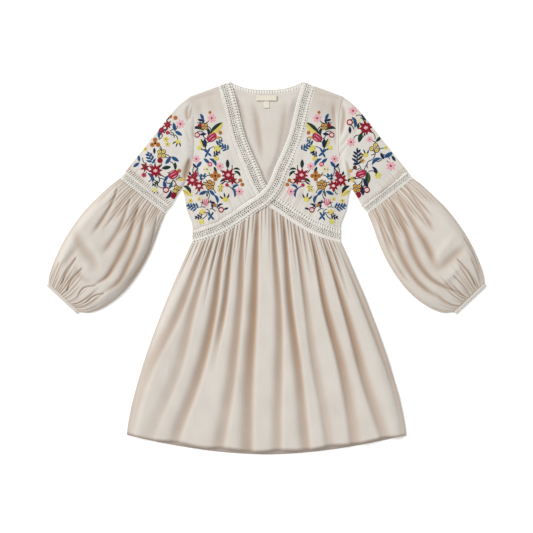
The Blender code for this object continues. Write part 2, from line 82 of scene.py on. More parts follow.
def readTable(rows, at, column=1):
    # a smooth curve through the rows' values
    x = np.array([row[0] for row in rows], float)
    y = np.array([row[column] for row in rows], float)
    slope = np.gradient(y, x)
    at = np.clip(at, x[0], x[-1])
    i = np.clip(np.searchsorted(x, at) - 1, 0, len(x) - 2)
    h = x[i + 1] - x[i]
    t = (at - x[i]) / h
    return y[i] + (y[i + 1] - y[i]) * smooth(t) + h * t * (1 - t) * (slope[i] * (1 - t) - slope[i + 1] * t)


def lengthsAlong(points):
    # the distance along a line to each of its points
    return np.concatenate([[0], np.cumsum(np.linalg.norm(np.diff(points, axis=0), axis=1))])


def pointsAt(points, along, at):
    return np.column_stack([np.interp(at, along, points[:, i]) for i in range(points.shape[1])])


def evenly(points, count):
    along = lengthsAlong(points)
    return pointsAt(points, along, spread(0, along[-1], count))


def curveThrough(points, count):
    # evenly spaced points on a smooth curve through the given ones
    p = np.array(points, float)
    p = np.vstack([2 * p[0] - p[1], p, 2 * p[-1] - p[-2]])
    t = np.linspace(0, 1, 24, endpoint=False)[:, None]
    spans = []
    for a, b, c, d in zip(p, p[1:], p[2:], p[3:]):
        square, cube = 2 * a - 5 * b + 4 * c - d, 3 * b - a - 3 * c + d
        spans.append(0.5 * (2 * b + (c - a) * t + square * t**2 + cube * t**3))
    return evenly(np.vstack([*spans, p[-2]]), count)


def curveNormals(points):
    d = np.gradient(points, axis=0)
    d /= np.linalg.norm(d, axis=1)[:, None]
    return np.column_stack([d[:, 1], -d[:, 0]])


def crossingOf(first, second):
    for i, (a, b) in enumerate(zip(first, first[1:])):
        for j, (c, d) in enumerate(zip(second, second[1:])):
            m = np.column_stack([b - a, c - d])
            if abs(np.linalg.det(m)) < 1e-16:
                continue
            s, t = np.linalg.solve(m, c - a)
            if 0 <= s <= 1 and 0 <= t <= 1:
                return a + s * (b - a), i, j


def patch(left, right, top, bottom, across):
    # a grid of points between four edges
    v = spread(0, 1, len(left))[:, None, None]
    u = np.asarray(across, float)[None, :, None]
    grid = (1 - v) * top[None] + v * bottom[None] + (1 - u) * left[:, None] + u * right[:, None]
    return grid - ((1 - v) * ((1 - u) * top[0] + u * top[-1]) + v * ((1 - u) * bottom[0] + u * bottom[-1]))


def fromPhoto(pixels):
    # plan positions of points measured in the photograph
    p = np.array(pixels, float)
    return np.column_stack([p[:, 0] - dress["photoCentreX"], dress["photoHemY"] - p[:, 1]]) * dress["pixel"]


def nearLine(x, y, line, halves, sharp, fadeIn=0.1, fadeOut=0.25):
    # 1 on a line, falling away over half widths given at its start, middle and end, and fading at its ends
    nearest = np.full(np.shape(x), 9.0)
    at = np.zeros(np.shape(x))
    for i, (a, b) in enumerate(zip(line, line[1:])):
        d = b - a
        t = np.clip(((x - a[0]) * d[0] + (y - a[1]) * d[1]) / (d @ d), 0, 1)
        away = np.hypot(x - a[0] - t * d[0], y - a[1] - t * d[1])
        closer = away < nearest
        nearest = np.where(closer, away, nearest)
        at = np.where(closer, (i + t) / (len(line) - 1), at)
    half = np.interp(at, [0, 0.5, 1], halves) / 1000
    return np.exp(-(nearest / half) ** sharp) * smooth(at / fadeIn) * smooth((1 - at) / fadeOut)


def unevenLines(seed, count, reach, half, depth):
    # small gathers side by side: each has its own place, reach, half width and depth
    rng = random.Random(seed)
    lines = []
    for k in range(count):
        at = (k + 0.5 + rng.uniform(-0.3, 0.3)) / count
        lines.append((at, rng.uniform(*reach), rng.uniform(*half), rng.uniform(*depth)))
    return lines


def hangingLines(lines, across, down):
    # the gathers that hang up from a seam at the lower edge, 1 in their middles
    total = np.zeros(np.broadcast_shapes(across.shape, down.shape))
    for at, reach, half, depth in lines:
        line = depth * smooth((down - 1 + reach) / 0.12) * np.exp(-((across - at) / half) ** 2)
        total = np.maximum(total, line)
    return total


def wander(x, y, seed, size):
    # a soft, uneven surface between -1 and 1, made of a few long waves
    rng = random.Random(seed)
    total = 0
    for _ in range(5):
        angle = rng.uniform(0, math.pi)
        wave = size * rng.uniform(0.6, 1.8)
        along = x * math.cos(angle) + y * math.sin(angle)
        total = total + np.sin(2 * math.pi * along / wave + rng.uniform(0, 6.3))
    return total / 3.2


# Materials

def colour(code):
    # sRGB hex to linear
    parts = [int(code[i:i + 2], 16) / 255 for i in (1, 3, 5)]
    return (*[p / 12.92 if p <= 0.04045 else ((p + 0.055) / 1.055) ** 2.4 for p in parts], 1)


def addNode(tree, kind, links=(), numbered=None, **settings):
    # links are (input, node, output), numbered has the values of sockets known by number, and a setting is a
    # socket's value unless the node has a property of that name
    node = tree.nodes.new("ShaderNode" + kind)
    for name, value in settings.items():
        if hasattr(node, name) and name not in node.inputs:
            setattr(node, name, value)
        else:
            node.inputs[name.replace("_", " ")].default_value = value
    for socket, value in (numbered or {}).items():
        node.inputs[socket].default_value = value
    for socket, source, output in links:
        tree.links.new(source.outputs[output], node.inputs[socket])
    return node


def startMaterial(name, **settings):
    # the material, its nodes, its shader with the values given, and its coordinates
    made = bpy.data.materials.new(name)
    made.use_nodes = True
    tree = made.node_tree
    shader = tree.nodes["Principled BSDF"]
    for socket, value in settings.items():
        shader.inputs[socket.replace("_", " ")].default_value = value
    return made, tree, shader, addNode(tree, "TexCoord")


def linkShader(tree, shader, tone=None, bump=None):
    if tone:
        tree.links.new(tone.outputs[2], shader.inputs["Base Color"])
    if bump:
        tree.links.new(bump.outputs["Normal"], shader.inputs["Normal"])


waveUnit = 0.314  # the scale at which a wave texture has one wave in each unit of its coordinates

crepe = {
    "light": "#D6CFC7",
    "dark": "#CEC6BC",
    "paleLight": "#DBD7D0",  # a paler tone of the same crepe for the bodice fronts and upper sleeves
    "paleDark": "#D3CEC6",
    "fold": "#C6A88E",  # colour of the painted shade in folds, creases, tucks and along edges: darker, and warm as light that has bounced about in a fold
    "threadSpacing": 0.0009,  # real crepe has about 0.3 mm, too fine to show, so drawn coarser
    "slubWidth": 0.0024,
    "slubLength": 0.030,
}


def makeCrepe(name, light, dark):
    # viscose crepe, plain woven from overtwisted yarn and washed: matt, pebbled, with faint long slubs
    made, tree, shader, where = startMaterial(
        name, Roughness=0.86, Sheen_Weight=0.12, Sheen_Roughness=0.5, Specular_IOR_Level=0.25)
    slubs = addNode(tree, "Mapping", [("Vector", where, "UV")],
                    Scale=(1 / crepe["slubWidth"], 1 / crepe["slubLength"], 1))
    slubNoise = addNode(tree, "TexNoise", [("Vector", slubs, "Vector")],
                        Scale=1.0, Detail=3.0, Roughness=0.55)
    # a slow change of tone each 7 cm
    blotch = addNode(tree, "TexNoise", [("Vector", where, "UV")], Scale=14.0, Detail=3.0, Roughness=0.5)
    mixed = addNode(tree, "Math", [(0, slubNoise, "Fac"), (1, blotch, "Fac")], operation="ADD")
    tone = addNode(tree, "MapRange", [("Value", mixed, "Value")], From_Min=0.6, From_Max=1.5)
    tones = {6: colour(light), 7: colour(dark)}
    cloth = addNode(tree, "Mix", [("Factor", tone, "Result")], tones, data_type="RGBA")
    # painted shade: the cloth is multiplied towards the painted shade colour as far as the foldDepth
    # attribute says
    depth = addNode(tree, "Attribute", attribute_name="foldDepth")
    folded = addNode(tree, "Mix", [("Factor", depth, "Fac"), (6, cloth, 2)], {7: colour(crepe["fold"])},
                     data_type="RGBA", blend_type="MULTIPLY")
    threads = addNode(tree, "Mapping", [("Vector", where, "UV")], Scale=(1 / crepe["threadSpacing"],) * 3)
    weave = addNode(tree, "TexChecker", [("Vector", threads, "Vector")], Scale=1.0)
    pebble = addNode(tree, "TexNoise", [("Vector", threads, "Vector")], Scale=0.45, Detail=2.0)
    woven = addNode(tree, "Math", [(0, weave, "Fac"), (1, pebble, "Fac")], operation="ADD")
    relief = addNode(tree, "Math", [(0, woven, "Value"), (1, slubNoise, "Fac")], operation="ADD")
    bump = addNode(tree, "Bump", [("Height", relief, "Value")], Strength=0.30, Distance=0.00025)
    linkShader(tree, shader, folded, bump)
    return made


laceYarn = {
    # the yarn's colour lit and in painted shade
    "light": "#EFECE5",
    "dark": "#D3CCC0",
    "twist": 0.0011,  # two plies, a turn each 2.2 mm
}


def makeLaceYarn():
    # mercerised cotton, crocheted: bright, slightly glossy yarn with a visible twist, and painted shade in
    # its twist and between loops
    made, tree, shader, where = startMaterial("cottonYarnCrocheted", Roughness=0.7, Sheen_Weight=0.1)
    fine = addNode(tree, "Mapping", [("Vector", where, "Object")], Scale=(1 / laceYarn["twist"],) * 3)
    twist = addNode(tree, "TexWave", [("Vector", fine, "Vector")], Scale=0.35, Distortion=2.5, Detail=1.0)
    # painted shade between the loops each 17 mm
    broad = addNode(tree, "TexNoise", [("Vector", where, "Object")], Scale=60.0, Detail=2.0)
    depth = addNode(tree, "Math", [(0, twist, "Fac"), (1, broad, "Fac")], operation="MULTIPLY")
    tones = {6: colour(laceYarn["light"]), 7: colour(laceYarn["dark"])}
    tone = addNode(tree, "Mix", [("Factor", depth, "Value")], tones, data_type="RGBA")
    bump = addNode(tree, "Bump", [("Height", twist, "Fac")], Strength=0.5, Distance=0.0003)
    linkShader(tree, shader, tone, bump)
    return made


flossPitch = 0.0009  # real floss has a thread each 0.4 mm, so it is drawn about twice as coarse to show
threadColours = {
    "crimson": "#8C0A24",
    "rose": "#B32A50",
    "pink": "#E9B0B8",
    "blush": "#F0D6D2",
    "orange": "#B06A2A",
    "ochre": "#CFA252",
    "brown": "#5A2A16",
    "yellow": "#DECA70",
    "cream": "#E6DCB2",
    "lemon": "#DDD46A",
    "blue": "#1A4E80",
    "navy": "#101F44",
    "teal": "#164E74",
    "green": "#16302A",
    "olive": "#4C5A2A",
}


def makeThread(name, code):
    # viscose embroidery floss laid in satin stitch: painted sheen along the threads and painted shade between
    # them
    made, tree, shader, where = startMaterial(
        "viscoseFlossSatin" + name.capitalize(), Roughness=0.6, Specular_IOR_Level=0.2)
    lines = addNode(tree, "Mapping", [("Vector", where, "UV")], Scale=(1 / flossPitch, 1, 1))
    strand = addNode(tree, "TexWave", [("Vector", lines, "Vector")], Scale=waveUnit, bands_direction="X")
    # painted sheen, uneven each 3 mm
    uneven = addNode(tree, "TexNoise", [("Vector", where, "Object")], Scale=300.0, Detail=1.0)
    both = addNode(tree, "Math", [(0, strand, "Fac"), (1, uneven, "Fac")], operation="MULTIPLY")
    # the thread's colour at 0.8 times for painted shade and 1.1 times for painted sheen
    tones = {socket: (*[c * share for c in colour(code)[:3]], 1) for socket, share in ((6, 0.8), (7, 1.1))}
    tone = addNode(tree, "Mix", [("Factor", both, "Value")], tones, data_type="RGBA")
    bump = addNode(tree, "Bump", [("Height", strand, "Fac")], Strength=0.4, Distance=0.0002)
    linkShader(tree, shader, tone, bump)
    return made


def makeLabelTape():
    # polyester satin ribbon, woven and heat cut: smooth, with faint cross ribs each 0.8 mm
    made, tree, shader, where = startMaterial("polyesterTapeWoven", Roughness=0.55)
    ribs = addNode(tree, "Mapping", [("Vector", where, "Object")], Scale=(1 / 0.0008,) * 3)
    wave = addNode(tree, "TexWave", [("Vector", ribs, "Vector")], Scale=waveUnit, bands_direction="Y")
    tones = {6: colour("#D6CBB9"), 7: colour("#E4DCCD")}
    tone = addNode(tree, "Mix", [("Factor", wave, "Fac")], tones, data_type="RGBA")
    bump = addNode(tree, "Bump", [("Height", wave, "Fac")], Strength=0.3, Distance=0.0001)
    linkShader(tree, shader, tone, bump)
    return made


def makeSewingThread():
    # spun polyester sewing thread: matt, a shade warmer than the cloth
    made, tree, shader, where = startMaterial("polyesterThreadSpun", Roughness=0.7)
    noise = addNode(tree, "TexNoise", [("Vector", where, "Object")], Scale=900.0)  # fibres each 1 mm
    tones = {6: colour("#D2C6B8"), 7: colour("#E6DDD2")}
    linkShader(tree, shader, addNode(tree, "Mix", [("Factor", noise, "Fac")], tones, data_type="RGBA"))
    return made


def makePaper():
    # matt white studio paper on a light table: an even, nearly shadowless pale floor with the faintest tooth
    made, tree, shader, where = startMaterial(
        "studioPaperMatt", Base_Color=colour("#F8F8F7"), Roughness=0.95, Specular_IOR_Level=0.1,
        Emission_Color=(1, 1, 1, 1), Emission_Strength=0.16)
    tooth = addNode(tree, "TexNoise", [("Vector", where, "Object")], Scale=400.0, Detail=2.0)  # each 2.5 mm
    bump = addNode(tree, "Bump", [("Height", tooth, "Fac")], Strength=0.05, Distance=0.0002)
    linkShader(tree, shader, bump=bump)
    return made


viscoseCrepeWoven = makeCrepe("viscoseCrepeWoven", crepe["light"], crepe["dark"])
viscoseCrepePale = makeCrepe("viscoseCrepePale", crepe["paleLight"], crepe["paleDark"])
cottonYarnCrocheted = makeLaceYarn()
floss = {name: makeThread(name, code) for name, code in threadColours.items()}
polyesterTapeWoven = makeLabelTape()
polyesterThreadSpun = makeSewingThread()
print("materials made")


# Meshes

def link(name, data):
    made = bpy.data.objects.new(name, data)
    bpy.context.scene.collection.objects.link(made)
    return made


def makeMesh(name, points, faces, materials, uv=None, slots=None, fold=None):
    points = np.asarray(points, float).reshape(-1, 3) + (0, dress["planShiftY"], 0)
    faces = np.asarray(faces, np.int32)
    mesh = bpy.data.meshes.new(name)
    mesh.vertices.add(len(points))
    mesh.vertices.foreach_set("co", points.ravel())
    mesh.loops.add(faces.size)
    mesh.loops.foreach_set("vertex_index", faces.ravel())
    mesh.polygons.add(len(faces))
    mesh.polygons.foreach_set("loop_start", np.arange(len(faces), dtype=np.int32) * faces.shape[1])
    for m in materials:
        mesh.materials.append(m)
    if slots is not None:
        mesh.polygons.foreach_set("material_index", np.asarray(slots, np.int32))
    if uv is not None:
        corners = np.asarray(uv, float).reshape(-1, 2)[faces.ravel()]
        mesh.uv_layers.new(name="UVMap").data.foreach_set("uv", corners.ravel())
    # the painted shade is stored as the point attribute foldDepth, which the crepe material reads
    if fold is not None:
        paintedShadeValues = mesh.attributes.new("foldDepth", "FLOAT", "POINT")
        paintedShadeValues.data.foreach_set("value", np.asarray(fold, float).ravel())
    mesh.update(calc_edges=True)
    mesh.validate()
    mesh.shade_smooth()
    return link(name, mesh)


def gridFaces(rows, columns, ring=False):
    r = np.arange(rows - 1)[:, None] * columns
    c = np.arange(columns if ring else columns - 1)[None]
    n = (c + 1) % columns
    return np.stack([r + c, r + columns + c, r + columns + n, r + n], axis=-1).reshape(-1, 4)


def thicken(made, thickness, offset):
    solid = made.modifiers.new("thickness", "SOLIDIFY")
    solid.thickness = thickness
    solid.offset = offset


def clothSheet(name, points, uv, fold=None, ring=False, material=None, thickness=None):
    # a thin shell whose given points are its upper or outer face
    rows, columns = points.shape[:2]
    faces = gridFaces(rows, columns, ring)
    r, c = rows // 2, columns // (4 if ring else 2)
    side = points[r, c + 1, :2] - points[r, c, :2]
    down = points[r + 1, c, :2] - points[r, c, :2]
    if side[0] * down[1] - side[1] * down[0] > 0:
        faces = faces[:, ::-1]
    if fold is None:
        fold = np.zeros((rows, columns))
    made = makeMesh(name, points, faces, [material or viscoseCrepeWoven], uv, fold=fold)
    thicken(made, thickness or dress["clothThickness"], -1)
    return made


def sweepTubes(paths, radii, sides=6, flatten=1.0, plies=0, pitch=0.002):
    # round sections swept along many paths of equal point counts; plies gives a rope's twist
    paths = np.asarray(paths, float)
    n, k = paths.shape[:2]
    radii = np.broadcast_to(np.asarray(radii, float), (n, k))
    d = np.gradient(paths, axis=1)
    d /= np.maximum(np.linalg.norm(d, axis=2), 1e-12)[..., None]
    side = np.cross(d, (0.0, 0.0, 1.0))
    side[np.linalg.norm(side, axis=2) < 1e-3] = (1, 0, 0)
    side /= np.linalg.norm(side, axis=2)[..., None]
    up = np.cross(side, d)
    a = np.linspace(0, 2 * math.pi, sides, endpoint=False)
    lengths = np.cumsum(np.linalg.norm(np.diff(paths, axis=1), axis=2), axis=1)
    along = np.concatenate([np.zeros((n, 1)), lengths], axis=1)[..., None]
    r = radii[..., None] * np.ones(sides)
    if plies:
        r = r * (0.86 + 0.14 * np.cos(plies * (a[None, None] - 2 * math.pi * along / pitch)))
    section = side[:, :, None] * np.cos(a)[:, None] + flatten * up[:, :, None] * np.sin(a)[:, None]
    points = paths[:, :, None] + r[..., None] * section
    quads = gridFaces(k, sides, ring=True)[:, [0, 3, 2, 1]]
    faces = (np.arange(n)[:, None, None] * k * sides + quads[None]).reshape(-1, 4)
    uv = np.stack([np.broadcast_to(along, r.shape), np.broadcast_to(a * 0.001, r.shape)], axis=-1)
    return points.reshape(-1, 3), faces, uv.reshape(-1, 2)


def joined(parts):
    points, faces, uv, start = [], [], [], 0
    for p, f, t in parts:
        points.append(p)
        faces.append(f + start)
        uv.append(t)
        start += len(p)
    return np.vstack(points), np.vstack(faces), np.vstack(uv)


def declare(piece, slot, *nodes):
    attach(piece, "root")
    if nodes:
        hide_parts(*nodes)
    return piece


# The body's plan, as in the solids

body = {
    "neckPoint": (0.087, 0.900),
    "shoulderPoint": (0.1855, 0.8635),
    "armhole": [
        (0.1855, 0.8635), (0.177, 0.833), (0.1735, 0.784), (0.176, 0.724), (0.187, 0.683), (0.205, 0.646),
    ],
    "sideSeam": [(0.205, 0.646), (0.198, 0.622), (0.1925, 0.590), (0.181, 0.560), (0.1785, 0.543)],
    "waistHalf": 0.1795,
    "waistY": 0.510,
    "neckDrop": 0.019,
    "neckPower": 2.6,
    "swell": 0.0055,
    "swellRamp": 0.050,
}


def bodyHalfWidth(y):
    edge = [*body["armhole"], *body["sideSeam"][1:], (body["waistHalf"], body["waistY"])]
    xs, ys = zip(*reversed(edge))
    return np.interp(y, ys, xs)


def bodiceSwell(x, y):
    nx, ny = body["neckPoint"]
    sx, sy = body["shoulderPoint"]
    fromSide = (bodyHalfWidth(y) - np.abs(x)) / body["swellRamp"]
    fromShoulder = (ny - (ny - sy) / (sx - nx) * (np.abs(x) - nx) - y) / body["swellRamp"]
    return body["swell"] * smooth(fromSide) * smooth(fromShoulder)


def backNeckY(x):
    nx, ny = body["neckPoint"]
    return ny - body["neckDrop"] * (1 - (np.minimum(np.abs(x), nx) / nx) ** body["neckPower"])


# Lace strips

laceStrip = {
    "width": 0.034,
    "path": [
        (0.103, 0.894), (0.0895, 0.847), (0.071, 0.772), (0.054, 0.727), (0.036, 0.687), (0.019, 0.647),
        (-0.005, 0.618), (-0.035, 0.598), (-0.070, 0.574), (-0.112, 0.549), (-0.157, 0.532),
        (-0.1795, 0.5265),
    ],
    "crossing": (0.0, 0.628),
    "crossingLift": 0.0034,
    "crossingFull": 0.031,
    "crossingEnd": 0.066,
    "holePitch": 0.0056,
    "holeRadius": 0.0017,
    "groundHeight": 0.0009,
    "groundThickness": 0.0005,
    "rimRadius": 0.00045,
    "cordTwist": 0.0048,
    "barTwist": 0.006,
    "barLean": 0.0008,
    "picotHalf": 0.0018,
    "picotRadius": 0.0008,
    "neckInset": 0.0006,
    "neckHeight": 0.0004,
}


def laceFrame(count):
    # the middle line of the strip that lies over, and which way is inward from it
    centre = curveThrough(laceStrip["path"], count)
    inward = curveNormals(centre)
    shoulder = np.subtract(body["neckPoint"], body["shoulderPoint"])
    shoulder /= np.linalg.norm(shoulder)
    t = spread(0, 1, count)[:, None]
    atStart, atEnd = 1 - smooth(t / 0.17), smooth((t - 0.83) / 0.17)
    inward = inward * (1 - atStart) + shoulder * atStart
    inward = inward * (1 - atEnd) + np.array((0.0, 1.0)) * atEnd
    return centre, inward / np.linalg.norm(inward, axis=1)[:, None]


def laceEdge(side, count=240, under=0.0):
    centre, inward = laceFrame(count)
    return centre + side * (laceStrip["width"] / 2 - under) * inward


def frontStrip(mirror, over):
    # places on the strip by the distance along it and across it from its middle
    centre, inward = laceFrame(500)
    along = lengthsAlong(centre)

    def place(s, w, h):
        s, w, h = np.broadcast_arrays(s, w, h)
        x, y = [np.interp(s, along, centre[:, i]) + w * np.interp(s, along, inward[:, i]) for i in (0, 1)]
        x = -x if mirror else x
        z = dress["restHeight"] + bodiceSwell(x, y)
        if over:
            away = np.hypot(x - laceStrip["crossing"][0], y - laceStrip["crossing"][1])
            span = laceStrip["crossingEnd"] - laceStrip["crossingFull"]
            z = z + laceStrip["crossingLift"] * smooth((laceStrip["crossingEnd"] - away) / span)
        return np.stack([x, y, z + h], axis=-1)

    return place, along[-1]


# Each strip from its first edge, in millimetres: cords as (place, radius, height), bars and ticks as (from,
# to, pitch, radius), net as (from, to, rows of holes), and how much higher the ticks' far ends lie
laceLayouts = {
    "wide": {
        "width": 34,
        "cords": [(1.1, 1.0, 1.3), (10.6, 0.8, 1.2), (24.6, 0.8, 1.2)],
        "bars": (1.2, 10.2, 6.8, 2.0),
        "barsOpen": True,
        "net": (10.6, 24.6, 3),
        "ticks": (25.4, 33.4, 4.4, 0.85),
        "ticksRise": 0.6,
        "picots": 1.5,
    },
    "neck": {
        "width": 12,
        "cords": [(1.4, 1.1, 1.0), (11.3, 0.7, 0.9)],
        "bars": (2.0, 11.0, 6.6, 1.6),
        "barsOpen": False,
        "net": (1.4, 2.6, 0),
        "ticks": None,
        "picots": 0,
    },
    "sleeve": {
        "width": 24,
        "cords": [(0.9, 0.9, 1.2), (6.2, 0.9, 1.2), (17.8, 1.2, 1.2), (19.8, 1.0, 1.4)],
        "bars": (1.0, 6.0, 5.0, 1.7),
        "barsOpen": False,
        "net": (6.2, 17.4, 3),
        "ticks": (20.2, 32.2, 5.2, 1.15),
        "ticksRise": 2.3,
        "picots": 0,
    },
}


def laceNet(place, length, low, high, rows, thickness):
    # a band of crocheted net between two places across the strip, each mesh a round hole with a raised rim
    columns = round(length / laceStrip["holePitch"])
    s = (np.arange(columns)[:, None] + 0.35 + 0.3 * (np.arange(rows)[None] % 2)) * length / columns
    w = low + (np.arange(rows)[None] + 0.5) * (high - low) / rows
    s, w = [a.ravel()[:, None] for a in np.broadcast_arrays(s, w)]
    ds, dw = length / columns / 2, abs(high - low) / rows / 2
    ringS = np.array([-1, 0, 1, 1, 1, 0, -1, -1])
    ringW = np.array([-1, -1, -1, 0, 1, 1, 1, 0])
    turn = np.arctan2(ringW, ringS)
    radius = laceStrip["holeRadius"] * np.random.default_rng(2).uniform(0.8, 1.12, (len(s), 1))
    outer = place(s + ds * ringS, w + dw * ringW, thickness * 0.6)
    inner = place(s + radius * np.cos(turn), w + radius * np.sin(turn), thickness)
    points = np.concatenate([outer, inner], axis=1)
    k = np.arange(8)
    quads = np.stack([k, (k + 1) % 8, 8 + (k + 1) % 8, 8 + k], axis=-1)
    faces = (np.arange(len(s))[:, None, None] * 16 + quads[None]).reshape(-1, 4)
    angle = spread(0, 2 * math.pi, 10)
    rim = place(s + radius * 1.2 * np.cos(angle), w + radius * 1.2 * np.sin(angle), thickness * 1.3)
    return points.reshape(-1, 3), faces, rim


def laceGround(place, length, layout, across):
    # the closed ground between the open rows, and the net with its rims
    height = laceStrip["groundHeight"]
    stations = spread(0, length, int(length / 0.0025))[:, None]
    netFrom, netTo, rows = layout["net"]
    strips, rims = [], []
    for start, stop in ((3.4 if layout["barsOpen"] else 0.4, netFrom), (netTo, layout["width"] - 0.2)):
        count = max(2, int((stop - start) / 2.5) + 1)
        grid = place(stations, across(spread(start, stop, count))[None], height * 0.5)
        strips.append((grid.reshape(-1, 3), gridFaces(*grid.shape[:2]), grid.reshape(-1, 3)[:, :2]))
    if rows:
        points, faces, rim = laceNet(place, length, across(netFrom), across(netTo), rows, height)
        strips.append((points, faces, points[:, :2]))
        rims.append(sweepTubes(rim, laceStrip["rimRadius"], 4))
    return strips, rims


def lacePiece(name, place, length, layout, edgeSide, node):
    width = layout["width"] / 1000

    def across(mm):
        return edgeSide * (width / 2 - np.asarray(mm) / 1000)

    strips, parts = laceGround(place, length, layout, across)
    points, faces, uv = joined(strips)
    base = makeMesh(name, points, faces, [cottonYarnCrocheted], uv)
    thicken(base, laceStrip["groundThickness"], 0)
    declare(base, "cotton_lace", node)

    fine = spread(0.0006, length - 0.0006, int(length / 0.0010))
    for mm, radius, height in layout["cords"]:
        path = place(fine, across(mm), height / 1000)[None]
        parts.append(sweepTubes(path, radius / 1000, 6, plies=2, pitch=laceStrip["cordTwist"]))
    for kind in ("bars", "ticks"):
        if not layout[kind]:
            continue
        start, stop, pitch, radius = layout[kind]
        count = round(length / pitch * 1000)
        middle = ((np.arange(count) + 0.5) * length / count)[:, None]
        t = spread(-1, 1, 7)
        mm = start + (stop - start) * (t + 1) / 2
        lift = 0.0010 + 0.0005 * (1 - t * t)
        if kind == "ticks":
            lift = 0.0008 + layout["ticksRise"] / 2000 * (t + 1)
        paths = place(middle + laceStrip["barLean"] * t, across(mm)[None], lift[None])
        swell = radius / 1000 * (1 - 0.35 * np.abs(t) ** 3)
        swell[[0, -1]] *= 0.5
        parts.append(sweepTubes(paths, swell[None], 7, flatten=0.7, plies=3, pitch=laceStrip["barTwist"]))
        if layout["picots"] and kind == "bars":
            turn = spread(0, math.pi, 7)
            out = across(1.0 - layout["picots"] * np.sin(turn))[None]
            loop = place(middle + laceStrip["picotHalf"] * np.cos(turn), out, 0.0010)
            parts.append(sweepTubes(loop, laceStrip["picotRadius"], 6))
    points, faces, uv = joined(parts)
    declare(makeMesh(name + "Yarn", points, faces, [cottonYarnCrocheted], uv), "cotton_lace")


placeOver, stripLength = frontStrip(False, True)
placeUnder, _ = frontStrip(True, False)
lacePiece("laceFrontOver", placeOver, stripLength, laceLayouts["wide"], -1, "lace_front_over")
lacePiece("laceFrontUnder", placeUnder, stripLength, laceLayouts["wide"], 1, "lace_front_under")


def placeBackNeck(s, w, h):
    s, w, h = np.broadcast_arrays(s, w, h)
    x = (s / backNeckLength * 2 - 1) * (body["neckPoint"][0] - laceStrip["neckInset"])
    y = backNeckY(x) - laceLayouts["neck"]["width"] / 2000 + w
    return np.stack([x, y, 0 * x + laceStrip["neckHeight"] + h], axis=-1)


neckX = spread(-body["neckPoint"][0], body["neckPoint"][0], 200)
backNeckLength = lengthsAlong(np.column_stack([neckX, backNeckY(neckX)]))[-1]
lacePiece("laceBackNeck", placeBackNeck, backNeckLength, laceLayouts["neck"], 1, "lace_back_neck")
print("lace made")


# Bodice

bodice = {
    "rows": 90,
    "columns": 100,
    "tucks": 19,
    "tuckHeight": 0.0010,
    "underLace": 0.003,
    "floor": 0.0024,  # no point of a front is lower
    "shoulderShade": 0.28,  # painted shade on the shoulders, which slope away from the light
    "creases": [  # from and to in plan, for the wearer's left; width and depth
        ((0.164, 0.850), (0.150, 0.740), 0.010, 0.0011),
        ((0.140, 0.860), (0.118, 0.770), 0.014, 0.0008),
        ((0.176, 0.700), (0.150, 0.640), 0.009, 0.0011),
        ((0.190, 0.640), (0.120, 0.600), 0.010, 0.0010),
        ((0.110, 0.790), (0.075, 0.690), 0.012, 0.0007),
        ((0.072, 0.660), (0.095, 0.600), 0.008, 0.0008),
        ((0.177, 0.860), (0.123, 0.871), 0.004, 0.0008),
    ],
    "leftCreases": [((0.1620, 0.836), (0.1672, 0.748), 0.0034, 0.0014)],
}


def creaseDepth(x, y, creases, sign=1):
    total = np.zeros(np.shape(x))
    for a, b, width, depth in creases:
        ax, ay, bx, by = a[0] * sign, a[1], b[0] * sign, b[1]
        lx, ly = bx - ax, by - ay
        t = ((x - ax) * lx + (y - ay) * ly) / (lx * lx + ly * ly)
        inside = smooth(np.clip(np.minimum(t + 0.15, 1.15 - t) / 0.3, 0, 1))
        away = ((x - ax) * ly - (y - ay) * lx) / math.hypot(lx, ly)
        total = total + depth * inside * np.exp(-(away / width) ** 2)
    return total


def makeBodiceFront(name, mirror, node):
    own = laceEdge(-1, under=bodice["underLace"])
    far = laceEdge(1, under=bodice["underLace"]) * (-1, 1)
    corner, ownCut, farCut = crossingOf(own, far)
    neck = evenly(np.vstack([own[:ownCut + 1], corner]), bodice["rows"])
    under = evenly(np.vstack([corner, far[farCut + 1:]]), bodice["columns"])
    right = np.vstack([curveThrough(body["armhole"], 70), curveThrough(body["sideSeam"], 50)[1:], under[-1]])
    right = evenly(right, bodice["rows"])
    across = spread(0, 1, bodice["columns"])
    top = own[0] + across[:, None] * (np.array(body["shoulderPoint"]) - own[0])
    grid = patch(neck, right, top, under, across)
    down = spread(0, 1, bodice["rows"])[:, None]
    x, y = grid[..., 0], grid[..., 1]
    z = dress["restHeight"] + dress["wall"] + bodiceSwell(x, y)
    tucks = unevenLines(7 if mirror else 6, bodice["tucks"], (0.05, 0.30), (0.009, 0.02), (0.3, 1.0))
    tucked = hangingLines(tucks, across[None], down)
    z = z + bodice["tuckHeight"] * (0.5 * smooth((down - 0.8) / 0.15) - tucked)
    creases = bodice["creases"] + ([] if mirror else bodice["leftCreases"])
    z = z - creaseDepth(x, y, creases) + 0.0007 * wander(x, y, 11 if mirror else 12, 0.07)
    edge = np.minimum(np.minimum(down / 0.012, (1 - down) / 0.018), (across / 0.03)[None])
    z = z - 0.0017 * (1 - smooth(edge))
    belowArmhole = smooth((body["armhole"][-1][1] + 0.01 - y) / 0.03)
    atSide = (1 - smooth((1 - across) / 0.016))[None]
    z = np.maximum(z - (0.0002 + 0.0015 * belowArmhole) * atSide, bodice["floor"])
    points = np.stack([-x if mirror else x, y, z], axis=-1)
    # painted shade in the creases and tucks, and on the shoulders
    fold = 0.5 * smooth(creaseDepth(x, y, creases) / 0.0025) + 0.35 * tucked
    fold = fold + bodice["shoulderShade"] * smooth((y - 0.79) / 0.07)
    made = clothSheet(name, points, np.stack([x, y], axis=-1), fold, material=viscoseCrepePale)
    return declare(made, "viscose_crepe", node)


bodiceLeft = makeBodiceFront("bodiceFrontLeft", False, "bodice_front_left")
bodiceRight = makeBodiceFront("bodiceFrontRight", True, "bodice_front_right")

